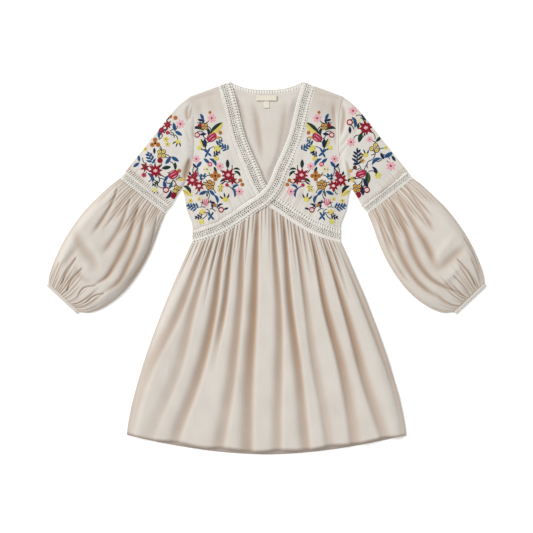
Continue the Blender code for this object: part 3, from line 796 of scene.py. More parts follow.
bodiceBack = {
    "rows": 84,
    "neckColumns": 44,
    "shoulderColumns": 12,
    "underNeckLace": 0.0112,
    "lift": 0.0036,  # how far the cloth rises inside the V, so that its folds have depth
    "folds": [  # in photo pixels; half widths in millimetres at start, middle and end; depth
        ([(251, 92), (256, 116), (260, 142), (264, 172)], (9, 9, 6), 0.0024),
        ([(287, 92), (285, 116), (281, 142), (275, 172)], (9, 9, 6), 0.0020),
        ([(230, 82), (238, 101), (243, 117), (249, 136)], (8, 8, 6), 0.0022),
        ([(303, 88), (297, 106), (292, 122), (287, 140)], (7, 7, 6), 0.0014),
    ],
}


def neckOpening(y):
    # half the width of the V between the lace strips' inner edges
    edge = laceEdge(1)
    low = edge[edge[:, 0] > 0]
    return np.interp(y, low[::-1, 1], low[::-1, 0])


def makeBodiceBack():
    side = np.vstack([curveThrough(body["armhole"], 90), curveThrough(body["sideSeam"], 50)[1:],
                      (body["waistHalf"], body["waistY"] - 0.002)])
    side = evenly(side, bodiceBack["rows"])
    nx, ny = body["neckPoint"]
    neckLine = spread(nx - 0.0004, 0, bodiceBack["neckColumns"])
    neckLine = np.column_stack([neckLine, backNeckY(neckLine) - bodiceBack["underNeckLace"]])
    shoulder = evenly(np.array([body["shoulderPoint"], (nx + 0.0002, ny)]), bodiceBack["shoulderColumns"])
    halfTop = np.vstack([shoulder, neckLine])
    top = np.vstack([halfTop * (-1, 1), halfTop[::-1][1:]])
    across = (top[:, 0] + body["shoulderPoint"][0]) / (2 * body["shoulderPoint"][0])
    bottom = np.column_stack([(2 * across - 1) * body["waistHalf"], np.full(len(across), side[-1, 1])])
    grid = patch(side * (-1, 1), side, top, bottom, across)
    x, y = grid[..., 0], grid[..., 1]
    inV = smooth((neckOpening(y) - np.abs(x)) / 0.016)
    inV = inV * smooth((y - 0.645) / 0.05) * smooth((0.872 - y) / 0.03)
    crease = np.zeros(x.shape)
    for line, halves, depth in bodiceBack["folds"]:
        crease = crease + depth * nearLine(x, y, curveThrough(fromPhoto(line), 20), halves, 2, 0.4, 0.4)
    lift = bodiceBack["lift"]
    z = dress["wall"] + inV * (lift - np.minimum(crease, lift) + 0.0004 * wander(x, y, 5, 0.06))
    # painted shade in the creases inside the V
    fold = 0.6 * smooth(crease / 0.0034) * inV
    made = clothSheet("bodiceBack", np.stack([x, y, z], axis=-1), np.stack([x, y], axis=-1), fold)
    declare(made, "viscose_crepe", "bodice_back")


makeBodiceBack()
print("bodice made")


# Skirt

skirt = {
    "hemHalf": 0.337,
    "hemSideY": 0.047,
    "hemPower": 1.8,
    "flare": 1.37,
    "backShows": 0.0072,
    "hemWave": 0.0018,
    "fan": 0.085,
    "sideRoll": 0.034,
    "gatherPitch": 0.0094,
    "rows": 84,
    "columns": 420,
    "backRows": 30,
    "backColumns": 90,
    "swell": [(0, 0.0032), (0.07, 0.0075), (0.2, 0.0115), (0.5, 0.0135), (0.85, 0.0110), (1, 0.0075)],
    "foldDepth": 0.0080,
    "gatherDepth": 0.0038,
    "floor": 0.0022,
    "foldDrawsHem": 0.0024,
    # share of the half width at the waist, a third down, two thirds down and at the hem; half width at the
    # waist, in the middle and at the hem; depth at those three; and how far down it reaches
    "folds": [
        (-0.80, -0.82, -0.93, -0.98, 0.0024, 0.013, 0.014, 0.80, 0.52, 0.35, 1.5),
        (-0.69, -0.70, -0.70, -0.84, 0.0026, 0.010, 0.016, 0.85, 0.50, 0.30, 1.5),
        (-0.62, -0.60, -0.64, -0.66, 0.0022, 0.004, 0.004, 0.80, 0.40, 0.00, 0.40),
        (-0.54, -0.49, -0.53, -0.64, 0.0030, 0.009, 0.014, 0.90, 0.88, 0.62, 1.5),
        (-0.43, -0.39, -0.43, -0.48, 0.0028, 0.007, 0.007, 0.90, 0.80, 0.00, 0.70),
        (-0.29, -0.25, -0.26, -0.33, 0.0032, 0.009, 0.015, 0.88, 0.72, 0.60, 1.5),
        (-0.11, -0.11, -0.12, -0.13, 0.0040, 0.010, 0.016, 0.92, 0.92, 0.80, 1.5),
        (0.09, 0.12, 0.11, 0.09, 0.0038, 0.008, 0.013, 0.90, 0.72, 0.60, 1.5),
        (0.23, 0.23, 0.26, 0.30, 0.0034, 0.008, 0.013, 0.95, 0.92, 0.72, 1.5),
        (0.37, 0.38, 0.39, 0.45, 0.0034, 0.008, 0.014, 0.85, 0.50, 0.50, 1.5),
        (0.48, 0.47, 0.47, 0.47, 0.0030, 0.006, 0.006, 0.70, 0.20, 0.00, 0.28),
        (0.59, 0.56, 0.61, 0.62, 0.0034, 0.009, 0.015, 0.90, 0.92, 0.66, 1.5),
        (0.75, 0.75, 0.76, 0.84, 0.0034, 0.008, 0.014, 0.85, 0.88, 0.60, 1.5),
        (0.84, 0.83, 0.84, 0.85, 0.0030, 0.005, 0.006, 0.80, 0.50, 0.00, 0.34),
        (0.94, 0.95, 0.97, 0.98, 0.0030, 0.007, 0.009, 0.50, 0.55, 0.30, 1.5),
    ],
}


def skirtHalf(v):
    return body["waistHalf"] + (skirt["hemHalf"] - body["waistHalf"]) * (1 - (1 - v) ** skirt["flare"])


def hemY(share):
    return skirt["hemSideY"] * np.abs(share) ** skirt["hemPower"]


def fanned(across, v):
    # the folds spread towards the sides on their way down
    outward = np.sign(across) * skirt["fan"] * np.sin(math.pi * np.abs(across))
    return across + outward * smooth((v - 0.3) / 0.7)


def skirtGathers():
    # small gathers between the main folds, each fading out at its own length
    gathers = []
    places = [-1, *(row[0] for row in skirt["folds"]), 1]
    rng = random.Random(3)
    for number, (a, b) in enumerate(zip(places, places[1:])):
        count = max(1, round((b - a) * body["waistHalf"] / skirt["gatherPitch"]))
        for k in range(1, count):
            fade = 0.13 + 0.09 * math.sin(7.3 * number + 2.1 * k)
            gathers.append((a + (b - a) * (k + rng.uniform(-0.2, 0.2)) / count, fade, rng.uniform(0.6, 0.95)))
    return gathers


def skirtRelief(across, v):
    halfWidth = skirtHalf(v)
    x = fanned(across, v) * halfWidth
    fromSide = halfWidth - np.abs(x)
    shape = readTable(skirt["swell"], v) * np.sin(0.5 * math.pi * np.minimum(1, fromSide / skirt["sideRoll"]))
    shape = shape * (1 + 0.12 * wander(across, v * 0.35, 8, 0.5))
    small, open_ = np.ones(np.shape(x)), np.ones(np.shape(x))
    for place, fade, deep in skirtGathers():
        away = x - place * halfWidth * (1 + 0.03 * v)
        line = np.exp(-(np.abs(away) / (0.0013 + 0.0045 * v)) ** 1.5)
        small = small * (1 - deep * smooth(1 - v / (fade + 0.10)) * line)
    for k, (u0, u1, u2, u3, w0, w1, w2, d0, d1, d2, reach) in enumerate(skirt["folds"]):
        place = readTable([(0, u0), (0.12, u0 * 0.7 + u1 * 0.3), (0.33, u1), (0.66, u2), (1, u3)], v)
        away = x - place * halfWidth - 0.002 * np.sin(9 * v + 5 * k) * v
        width = readTable([(0, w0), (0.35, w1), (1, w2)], v)
        depth = readTable([(0, d0), (0.45, d1), (1, d2)], v) * smooth((reach - v) / 0.3)
        # one flank of a fold is steeper than the other
        steep = 1 - 0.3 * np.sign(away) * (1 if k < 9 else -1)
        open_ = open_ * (1 - depth * np.exp(-(np.abs(away) / (width * steep)) ** 2.4))
    carved = (1 - open_) * np.minimum(shape, skirt["foldDepth"])
    carved = carved + open_ * (1 - small) * np.minimum(shape, skirt["gatherDepth"])
    # painted shade in the main folds, in the small gathers and along the side edges
    fold = (1 - open_) * np.sqrt(np.clip(shape / 0.008, 0, 1)) * (1 - 0.32 * smooth((v - 0.45) / 0.5))
    fold = fold + 0.95 * (1 - small)
    fold = fold + 0.35 * (1 - smooth(fromSide / 0.010))
    return shape - carved, np.clip(fold, 0, 1)


def frontHem(share):
    return skirt["backShows"] * (1 - share**4) + hemY(share) + skirt["hemWave"] * np.sin(17 * share)


def skirtSeam():
    # the lower edge of both lace strips, from side seam to side seam
    edge = laceEdge(-1, 900, under=bodice["underLace"])
    _, cut, _ = crossingOf(edge, edge * (-1, 1))
    s = edge[cut, 0] / (edge[cut, 0] - edge[cut + 1, 0])
    side = np.vstack([edge[cut] + s * (edge[cut + 1] - edge[cut]), edge[cut + 1:]])
    return np.vstack([side[::-1], (side * (-1, 1))[1:]])


def makeSkirtFront():
    v = spread(0, 1, skirt["rows"])[:, None] ** 1.25
    across = spread(-1, 1, skirt["columns"])[None]
    relief, fold = skirtRelief(across, v)
    seam = skirtSeam()
    share = fanned(across, v)
    waistY = np.interp(across * body["waistHalf"], seam[:, 0], seam[:, 1])
    x = share * skirtHalf(v)
    hem = frontHem(share) + skirt["foldDrawsHem"] * fold[-1:]
    y = waistY + (hem - waistY) * v
    # painted shade along the front hem's edge
    fold = np.maximum(fold, 0.55 * smooth((v - 0.988) / 0.008))
    z = dress["restHeight"] + dress["wall"] + relief
    z = z + (1 - smooth(v / 0.10)) * bodiceSwell(x, y) * 0.5
    z = z + 0.0004 * np.sin(across * 2 * math.pi * 41 + 2) * (1 - smooth(v / 0.07)) * smooth(v / 0.01)
    z = z + 0.0010 * wander(x, y * 0.45, 21, 0.06) * smooth(v / 0.3)
    z = z - 0.0016 * (1 - smooth(v / 0.008))
    points = np.stack([x, y, np.maximum(z, skirt["floor"])], axis=-1)
    made = clothSheet("skirtFront", points, np.stack([across * 0.36 + 0 * v, y], axis=-1), fold)
    return declare(made, "viscose_crepe", "skirt_front")


def makeSkirtBack():
    v = spread(0, 1, skirt["backRows"])[:, None]
    across = spread(-1, 1, skirt["backColumns"])[None]
    share = fanned(across, v)
    start = body["waistY"] - 0.0003
    x = share * skirtHalf(v)
    y = start + (hemY(share) - start) * v
    z = np.full(x.shape, dress["wall"])
    # painted shade along the back hem's edge, below the front's
    fold = 0.5 * smooth((v - 0.985) / 0.012) + 0 * x
    made = clothSheet("skirtBack", np.stack([x, y, z], axis=-1), np.stack([x, y], axis=-1), fold)
    declare(made, "viscose_crepe", "skirt_back")


skirtFront = makeSkirtFront()
makeSkirtBack()
print("skirt made")


# Sleeves

sleeve = {
    "topEdge": [(0.1855, 0.8635), (0.207, 0.847), (0.234, 0.818), (0.2675, 0.775), (0.3025, 0.731)],
    "underarm": [(0.205, 0.646), (0.213, 0.630)],
    "bandCentre": (0.2996, 0.6232),
    "bandHalf": 0.0697,
    "bandAngle": math.radians(-141.7),
    "bandWidth": 0.024,
    "cuffCentre": (0.4943, 0.3733),
    "cuffHalf": 0.0504,
    "cuffAngle": math.radians(-136.9),
    "cuffWidth": 0.009,
    "cuffHeight": 0.0042,
    "upperGrid": (64, 100, 20),  # rows, columns on top and columns underneath
    "lowerGrid": (112, 184, 16),
    "cuffGrid": (9, 120, 16),
    "armholeOverlap": 0.0026,
    "bandOverlap": 0.002,
    "upperSwell": 0.0048,
    "floor": 0.0022,
    "headFolds": {  # in photo pixels; half widths in millimetres; depth in metres
        "Left": [
            ([(341.5, 99), (343, 108), (344, 117), (342.5, 129), (339.5, 142)], (3, 6, 3), 0.0030),
            ([(351, 130), (345, 141), (338, 150)], (2.5, 4, 2.5), 0.0018),
            ([(349, 144), (343, 151), (338, 159)], (2, 3.4, 2), 0.0016),
            ([(358, 112), (357, 124), (354, 136)], (3, 4, 3), 0.0010),
            ([(345, 158), (348.5, 170), (350, 184)], (2, 5, 6), 0.0026),
        ],
        "Right": [
            ([(190, 103), (186.8, 111), (187.2, 118), (189, 124)], (2, 3.6, 2), 0.0034),
            ([(192, 106), (190.2, 114), (189.8, 122)], (1.6, 3, 1.6), 0.0028),
            ([(192.4, 124), (193, 132), (193.6, 140)], (1.4, 2.6, 1.4), 0.0020),
            ([(185, 128), (188, 137), (191.5, 146)], (2, 3.4, 2), 0.0012),
            ([(178, 104), (175, 116), (172, 128)], (4, 5, 4), 0.0010),
            ([(190.5, 156), (187.5, 168), (184.5, 184)], (3, 8, 8), 0.0050),
        ],
    },
    "foldDepth": 0.0052,
    "gatherDepth": 0.0026,
    # how far along the balloon, and how far it reaches outward and inward there
    "outline": [
        (0.00, 0.0697, 0.0697), (0.08, 0.0765, 0.0765), (0.20, 0.0825, 0.0890), (0.35, 0.0885, 0.1015),
        (0.50, 0.0890, 0.1075), (0.65, 0.0855, 0.1070), (0.80, 0.0765, 0.0965), (0.90, 0.0675, 0.0830),
        (0.96, 0.0598, 0.0690), (1.00, 0.0520, 0.0522),
    ],
    "swell": [
        (0, 0.0020), (0.08, 0.0075), (0.25, 0.0135), (0.5, 0.0165), (0.75, 0.0160), (0.9, 0.0095),
        (1, 0.0020),
    ],
    # in photo pixels; half widths in millimetres at start, middle and end; depth as a share of the swell
    "folds": {
        "Right": [
            ([(118, 186), (114, 200), (105, 217), (91, 238)], (2.0, 4.2, 6.0), 0.80),
            ([(131, 196), (126, 213), (120, 229), (110, 245), (100, 260)], (2.0, 6.0, 8.0), 0.72),
            ([(141, 202), (135.5, 216), (131, 232), (124, 249), (115, 266), (106, 279), (88, 289.5)],
             (3.2, 9.0, 2.0), 0.98),
            ([(149, 208), (144, 220), (141, 234), (136, 250), (128, 267), (119, 283), (100, 297)],
             (3.0, 8.0, 5.0), 0.90),
            ([(158, 214), (155, 226), (152, 240), (146, 257), (134, 276), (120, 294)], (2.0, 4.6, 3.4), 0.60),
            ([(163, 218), (160, 231), (155, 247), (147, 263), (132, 283)], (1.6, 2.4, 1.8), 0.60),
            ([(78, 257), (66, 275), (60, 291)], (2.0, 3.6, 1.4), 0.75),
            ([(84, 268), (76, 276), (69, 286), (66, 298)], (1.6, 2.6, 1.4), 0.80),
            ([(98, 286), (84, 289), (76, 300)], (1.2, 2.0, 1.2), 0.70),
            ([(106, 294), (94, 297), (84, 305)], (1.2, 2.2, 1.2), 0.70),
            ([(60, 262), (54, 276), (50, 290)], (1.6, 2.4, 1.2), 0.62),
        ],
        "Left": [
            ([(406, 184), (413, 197), (420, 209), (427, 221), (436, 236)], (1.8, 4.0, 6.0), 0.72),
            ([(395, 189), (401, 201), (409, 216), (417, 231), (427, 249), (438, 276)], (2.0, 7.0, 9.0), 0.78),
            ([(387, 193), (394, 206), (401, 221), (408, 238), (414, 255), (423, 271), (437, 284), (466, 297)],
             (3.0, 9.0, 1.8), 0.97),
            ([(379, 198), (387, 214), (393, 233), (400, 253), (408, 269), (419, 284), (433, 295), (452, 303)],
             (3.0, 8.5, 3.4), 0.92),
            ([(373, 205), (379, 218), (384, 237), (390, 254), (402, 275), (415, 291)], (1.8, 4.4, 3.0), 0.60),
            ([(455, 258), (464, 268), (471, 277), (479, 294)], (1.4, 2.6, 1.4), 0.80),
            ([(452, 276), (459, 282), (467, 291), (474, 300)], (1.2, 2.2, 1.2), 0.72),
            ([(470, 258), (475, 268), (480, 280), (484, 292)], (1.4, 2.4, 1.2), 0.70),
            ([(462, 236), (472, 252), (480, 272), (486, 290)], (1.6, 2.2, 1.2), 0.62),
            ([(444, 288), (455, 292), (464, 297), (472, 306)], (1.2, 2.0, 1.2), 0.66),
        ],
    },
    # soft hollows and puffs that lie slantwise over the balloon: height in metres
    "slants": {
        "Right": [
            ([(70, 220), (77, 235), (84, 250), (95, 264), (100, 282)], (10, 12, 11), -0.0046),
            ([(84, 222), (94, 244), (106, 266)], (9, 11, 9), 0.0016),
            ([(82, 243), (72, 256), (60, 272)], (7, 8, 7), -0.0032),
            ([(74, 262), (82, 278), (98, 287)], (6, 7, 6), -0.0026),
            ([(84, 262), (92, 275), (104, 282)], (9, 10, 8), 0.0024),
        ],
        "Left": [
            ([(432, 276), (445, 265), (458, 253), (470, 243)], (9, 12, 9), -0.0050),
            ([(430, 266), (444, 249), (458, 231)], (8, 10, 8), 0.0022),
            ([(436, 290), (450, 277), (463, 263)], (7, 8, 7), 0.0020),
            ([(416, 226), (430, 250), (442, 276)], (8, 9, 7), -0.0026),
        ],
    },
}


def sideSign(side):
    return np.array((1.0 if side == "Left" else -1.0, 1.0))


def unit(angle):
    return np.array((math.cos(angle), math.sin(angle)))


def bandPoint(share, down):
    # share runs from the outer edge to the inner one, down along the sleeve
    a = unit(sleeve["bandAngle"])
    along = np.array((-a[1], a[0]))
    along = along if along[1] < 0 else -along
    share, down = np.asarray(share)[..., None], np.asarray(down)[..., None]
    return np.array(sleeve["bandCentre"]) + a * sleeve["bandHalf"] * (2 * share - 1) + along * down


def cuffPoint(share, up):
    a = unit(sleeve["cuffAngle"])
    back = np.array((a[1], -a[0]))
    back = back if back[1] > 0 else -back
    share, up = np.asarray(share)[..., None], np.asarray(up)[..., None]
    return np.array(sleeve["cuffCentre"]) + a * sleeve["cuffHalf"] * (2 * share - 1) + back * up


def tubeAcross(top, under):
    # places round a flattened tube: the share across it, and 2 on top, 1 at its two edges or 0 underneath
    upper = (1 - np.cos(spread(0, math.pi, top))) / 2 * 0.25 + spread(0, 1, top) * 0.75
    lower = spread(1, 0, under + 2)[1:-1]
    share = np.concatenate([upper, [1.0], lower, [0.0]])
    layer = np.concatenate([np.full(top, 2), [1], np.zeros(under), [1]])
    return share, layer


def clothTube(name, plan, surface, grid, material=None):
    # surface gives the upper side's height and its painted shade, strongest deep in a fold
    share, layer = tubeAcross(*grid[1:])
    stations = spread(0, 1, grid[0])
    along = stations[:, None]
    inner, outer = plan(np.ones(grid[0]), stations), plan(np.zeros(grid[0]), stations)
    width = np.linalg.norm(inner - outer, axis=1)
    inset = np.where(layer == 1, 0.0, 0.0010)[None] / width[:, None]
    inside = np.clip(share[None], inset, 1 - inset)
    along = along + 0 * inside
    xy = plan(inside, along)
    high, fold = surface(inside, along, xy)
    z = np.where(layer[None] == 2, high, np.where(layer[None] == 1, dress["tubeEdge"] / 2, 0.0))
    run = np.cumsum(np.concatenate([[0], np.abs(np.diff(share)) + 0.01]))
    uv = np.stack([run[None] * width[:, None], along * 0.32], axis=-1)
    points = np.concatenate([xy, z[..., None]], axis=-1)
    return clothSheet(name, points, uv, np.where(layer[None] == 2, fold, 0), ring=True, material=material)


def upperPlan(side):
    sign = sideSign(side)
    rows, columns = 60, 100
    armhole = curveThrough(body["armhole"], columns)
    armhole = armhole + curveNormals(armhole) * sleeve["armholeOverlap"]
    start = sleeve["bandOverlap"] - sleeve["bandWidth"]
    band = bandPoint(spread(0, 1, columns), np.full(columns, start))
    outer = curveThrough([armhole[0], *sleeve["topEdge"][1:], band[0]], rows)
    inner = curveThrough([armhole[-1], *sleeve["underarm"][1:], band[-1]], rows)
    grid = patch(outer, inner, armhole, band, spread(0, 1, columns))

    def plan(across, along):
        r, c = along * (rows - 1), across * (columns - 1)
        r0, c0 = np.clip(r.astype(int), 0, rows - 2), np.clip(c.astype(int), 0, columns - 2)
        fr, fc = (r - r0)[..., None], (c - c0)[..., None]
        near = grid[r0, c0] * (1 - fc) + grid[r0, c0 + 1] * fc
        far = grid[r0 + 1, c0] * (1 - fc) + grid[r0 + 1, c0 + 1] * fc
        return (near * (1 - fr) + far * fr) * sign

    return plan


upperCreases = {  # in plan, mirrored for the wearer's right: soft ones down the sleeve
    "Left": [
        ((0.200, 0.840), (0.218, 0.760), 0.0110, 0.0010),
        ((0.205, 0.665), (0.245, 0.640), 0.0060, 0.0012),
        ((0.270, 0.740), (0.305, 0.700), 0.0090, 0.0008),
    ],
    "Right": [
        ((0.204, 0.830), (0.226, 0.750), 0.0110, 0.0008),
        ((0.212, 0.662), (0.250, 0.645), 0.0060, 0.0012),
    ],
}


def makeUpperSleeve(side):
    sign = sideSign(side)[0]
    tucks = unevenLines(33 if side == "Left" else 34, 22, (0.05, 0.24), (0.007, 0.014), (0.3, 1.0))

    def surface(across, along, xy):
        x, y = xy[..., 0], xy[..., 1]
        crease = creaseDepth(x, y, upperCreases[side], sign)
        for line, halves, depth in sleeve["headFolds"][side]:
            crease = crease + depth * nearLine(x, y, curveThrough(fromPhoto(line), 14), halves, 1.8, 0.3, 0.3)
        arch = np.sin(math.pi * np.clip(across, 0, 1))
        rounded = arch**0.8
        ends = smooth(along / 0.18) * smooth((1.06 - along) / 0.4)
        tucked = hangingLines(tucks, across, along)
        z = dress["tubeEdge"] + sleeve["upperSwell"] * rounded * ends
        uneven = 1 + wander(x, y, 31 if side == "Left" else 32, 0.06)
        z = z + 0.0010 * smooth(rounded * 2) * smooth(along / 0.08) * uneven
        z = z - crease * smooth(rounded * 2) - 0.0011 * tucked * smooth(rounded * 3)
        # painted shade in the creases and tucks, along the outer edge and near the armhole
        fold = 0.95 * smooth(crease / 0.0040) * arch**0.3 + 0.35 * tucked
        fold = fold + 0.15 * (1 - smooth(across / 0.06)) + 0.16 * (1 - smooth(along / 0.09))
        # the shade between the lace's ticks
        fold = fold + 0.35 * smooth((along - 0.93) / 0.03)
        # the sleeve goes under the bodice's edge at the armhole
        tuck = 1 - smooth(along / 0.05)
        return np.maximum(z - 0.0012 * tuck, sleeve["floor"] - 0.0003 * tuck), np.clip(fold, 0, 1)

    made = clothTube("sleeveUpper" + side, upperPlan(side), surface, sleeve["upperGrid"], viscoseCrepePale)
    return declare(made, "viscose_crepe", "sleeve_upper_" + side.lower())


def makeLowerSleeve(side):
    sign = sideSign(side)
    start = bandPoint(0.5, 0.0)
    end = cuffPoint(0.5, sleeve["cuffWidth"] - 0.001)
    turnBy = sleeve["cuffAngle"] - sleeve["bandAngle"]
    seed = 41 if side == "Left" else 42
    folds = [(curveThrough(fromPhoto(line), 26), *rest) for line, *rest in sleeve["folds"][side]]
    slants = [(curveThrough(fromPhoto(line), 14), *rest) for line, *rest in sleeve["slants"][side]]
    atBand = unevenLines(seed, 25, (0.12, 0.44), (1.2, 1.9), (0.55, 1.0))
    atCuff = unevenLines(seed + 9, 20, (0.10, 0.32), (1.1, 1.7), (0.55, 1.0))

    def plan(across, along):
        turn = sleeve["bandAngle"] + turnBy * smooth(along)
        a = np.stack([np.cos(turn), np.sin(turn)], axis=-1)
        outward, inward = [readTable(sleeve["outline"], along, column) for column in (1, 2)]
        away = (-outward + (outward + inward) * across)[..., None]
        return (start + (end - start) * along[..., None] + a * away) * sign

    def surface(across, along, xy):
        x, y = xy[..., 0], xy[..., 1]
        width = sum(readTable(sleeve["outline"], along, column) for column in (1, 2))
        fromEdge = np.minimum(across, 1 - across) * width
        edge = np.sin(0.5 * math.pi * np.clip(fromEdge / 0.026, 0, 1))
        shape = readTable(sleeve["swell"], along) * edge
        closed, gathered = np.zeros(x.shape), np.zeros(x.shape)
        for line, halves, depth in folds:
            closed = 1 - (1 - closed) * (1 - depth * nearLine(x, y, line, halves, 1.7))
        for lines, fromSeam in ((atBand, along), (atCuff, 1 - along)):
            for at, reach, half, depth in lines:
                away = np.abs(across - at) * width * 1000 / (half + 6 * fromSeam)
                gather = depth * smooth((reach - fromSeam) / 0.16) * np.exp(-away**1.8)
                gathered = 1 - (1 - gathered) * (1 - gather)
        slant = sum(depth * nearLine(x, y, *rest, 2, 0.4, 0.4) for *rest, depth in slants) * edge
        carved = closed * np.minimum(shape, sleeve["foldDepth"])
        carved = carved + gathered * np.minimum(shape, sleeve["gatherDepth"])
        z = dress["tubeEdge"] + np.maximum(shape - carved + slant * (1 - 0.7 * closed), 0.0)
        z = z + 0.0005 * edge * (1 + wander(x, y, seed, 0.05)) * smooth(along / 0.1)
        # painted shade in the folds and gathers, in the slanting hollows and along both edges
        fold = np.maximum(closed * np.sqrt(np.clip(shape / 0.007, 0, 1)) * 0.85, 0.8 * gathered * edge)
        fold = fold + np.clip(-slant, 0, 1) / 0.011 + 0.34 * (1 - smooth(fromEdge / 0.012))
        return z, np.clip(fold, 0, 1)

    made = clothTube("sleeveLower" + side, plan, surface, sleeve["lowerGrid"])
    declare(made, "viscose_crepe", "sleeve_lower_" + side.lower())


def makeCuff(side):
    sign = sideSign(side)

    def plan(across, along):
        return cuffPoint(across, sleeve["cuffWidth"] * (1 - along)) * sign

    def surface(across, along, _):
        edge = smooth(np.minimum(across, 1 - across) / 0.08)
        ribs = 0.0003 * np.cos(2 * math.pi * 28 * across) * edge
        roll = np.sqrt(np.clip(1 - (2 * along - 1) ** 2, 0, 1))
        lift = (sleeve["cuffHeight"] - dress["tubeEdge"]) * edge * roll
        return dress["tubeEdge"] + lift + ribs + 0.0004 * edge, 0 * across

    made = clothTube("cuff" + side, plan, surface, sleeve["cuffGrid"])
    return declare(made, "viscose_crepe", "cuff_" + side.lower())


def makeSleeveLace(side):
    sign = sideSign(side)
    length = 2 * sleeve["bandHalf"]

    def place(s, w, h):
        # the first half of the ring lies on top and the second half underneath
        s, w, h = np.broadcast_arrays(s, w, h)
        share = 1 - np.abs(s / length - 1)
        upper = s < length
        xy = bandPoint(np.clip(share, 0.008, 0.992), -sleeve["bandWidth"] / 2 + w) * sign
        edge = smooth(np.minimum(share, 1 - share) / 0.06)
        top = dress["tubeEdge"] * (0.55 + 0.45 * edge) + 0.0002 * edge + h * (0.3 + 0.7 * edge)
        below = dress["tubeEdge"] * 0.55 - 0.0001 * edge - 0.1 * h
        return np.concatenate([xy, np.where(upper, top, below)[..., None]], axis=-1)

    lacePiece("laceSleeve" + side, place, 2 * length, laceLayouts["sleeve"], 1, "lace_sleeve_" + side.lower())


upperSleeves, cuffs = {}, {}
for side in ("Left", "Right"):
    upperSleeves[side] = makeUpperSleeve(side)
    makeSleeveLace(side)
    makeLowerSleeve(side)
    cuffs[side] = makeCuff(side)
print("sleeves made")


# Labels

label = {"size": (0.050, 0.013), "tab": (0.014, 0.018), "topY": 0.8665, "height": 0.0054, "thickness": 0.0006}


def makeLabel(name, size, topY, node):
    x = spread(-0.5, 0.5, 24)[None] * size[0]
    y = topY - spread(0, 1, 10)[:, None] * size[1]
    z = label["height"] + 0.0003 * np.sin(x * 90) + 0.0014 * ((topY - y) / size[1]) ** 2
    points = np.stack([x + 0 * y, y + 0 * x, z], axis=-1)
    made = clothSheet(name, points, points[..., :2], None, False, polyesterTapeWoven, label["thickness"])
    return declare(made, "label_tape", node)


neckLabel = makeLabel("neckLabel", label["size"], label["topY"], "neck_label")
makeLabel("sizeLabel", label["tab"], label["topY"] - label["size"][1], "size_label")
print("labels made")


# Embroidery

embroidery = {
    "dome": 0.00055,
    "across": 5,
    "stem": 0.00125,
    "grow": 1.03,
    "layerLift": 0.00018,
    "step": 0.62,  # millimetres between sections of a stitched shape
}


# A motif is a list of satin rows, each a path and its half widths in millimetres, a thread and a layer

def steps(length):
    return spread(0, 1, max(7, int(length / embroidery["step"]) + 1))


def turned(path, degrees, x=0.0, y=0.0):
    c, s = math.cos(math.radians(degrees)), math.sin(math.radians(degrees))
    return path @ np.array([[c, s], [-s, c]]) + (x, y)


def petal(angle, start, length, width, thread, form="leaf", bend=0.0, layer=1, x=0.0, y=0.0):
    t = steps(length)
    half = {
        "leaf": np.sin(math.pi * t) ** 0.7,
        "flame": np.sin(math.pi * t**0.62) ** 0.85,
        "round": np.sqrt(np.clip(1 - (2 * t - 1) ** 2, 0, 1)),
    }[form]
    path = np.column_stack([start + length * t, bend * length * (t - t * t) * 4])
    return turned(path, angle, x, y), width / 2 * half, thread, layer


def disc(x, y, radius, thread, layer=2):
    return petal(0, -radius, 2 * radius, 2 * radius, thread, "round", layer=layer, x=x, y=y)


def hoop(x, y, radius, half, thread, layer=2, squeeze=1.0):
    turn = 2 * math.pi * steps(6.3 * radius)
    path = np.column_stack([x + radius * np.cos(turn), y + squeeze * radius * np.sin(turn)])
    return path, np.full(len(turn), float(half)), thread, layer


def starFlower(size, main="crimson", centre="pink", points=8):
    rows = []
    for k in range(points):
        reach = size * (1.04 if k % 2 else 0.90)
        inner, turn = 0.05 * size, 360 * k / points
        rows.append(petal(turn, inner, reach - inner, 0.42 * size, main, "flame", layer=1 + k % 2))
        if k % 2:
            rows.append(petal(turn, 0.36 * size, 0.34 * size, 0.1 * size, "rose", layer=3))
    rows += [disc(0, 0, 0.38 * size, main, 1), disc(0, 0, 0.27 * size, centre, 3)]
    return rows + [disc(0, 0, 0.11 * size, "blush" if centre == "pink" else centre, 4)]


def daisy(size, main="pink", centre="crimson", petals=7):
    rows = [petal(360 * k / petals, 0.2 * size, size, 0.62 * size, main, "round") for k in range(petals)]
    return rows + [disc(0, 0, 0.25 * size, centre, 3)]


def rose(size, dark="crimson", light="pink"):
    # a closed flower: an oval ground in one colour with darker and lighter petals laid over it
    rows = [petal(0, -size, 2 * size, 1.5 * size, "rose", "round", layer=1)]
    shares = ((-0.5, 1.0), (-0.25, 1.4), (0.02, 1.6), (0.27, 1.4), (0.5, 1.0))
    for (at, share), thread in zip(shares, (light, dark, light, dark, light)):
        length = share * size
        rows.append(petal(0, -length / 2, length, 0.2 * size, thread, bend=0.05, layer=2, y=at * size))
    return rows + [hoop(0, 0, 0.9 * size, 0.075 * size, dark, 3, 0.76)]


def ringFlower(size, main="crimson", inner="blush"):
    ring = hoop(0, 0, 0.74 * size, 0.2 * size, main)
    return [disc(0, 0, 0.7 * size, inner, 1), ring, disc(0, 0, 0.14 * size, main, 3)]


def blossom(size, main="orange", tips="brown", petals=4):
    rows = [disc(0, 0, 0.24 * size, tips, 3)]
    for k in range(petals):
        turn = 2 * math.pi * k / petals
        x, y = 0.6 * size * math.cos(turn), 0.6 * size * math.sin(turn)
        rows += [disc(x, y, 0.42 * size, main, 1), disc(x, y, 0.13 * size, tips, 2)]
        rows.append(petal(math.degrees(turn) + 45, 0, 0.62 * size, 0.14 * size, "ochre", layer=2))
    return rows


def berries(size, main="ochre", outline="brown", count=4):
    rows = []
    for k in range(count):
        turn = 2 * math.pi * k / count + 0.4
        x, y = 0.55 * size * math.cos(turn), 0.55 * size * math.sin(turn)
        rows += [disc(x, y, 0.42 * size, main, 1), hoop(x, y, 0.38 * size, 0.07 * size, outline, 2)]
        rows.append(disc(x, y, 0.11 * size, outline, 3))
    return rows


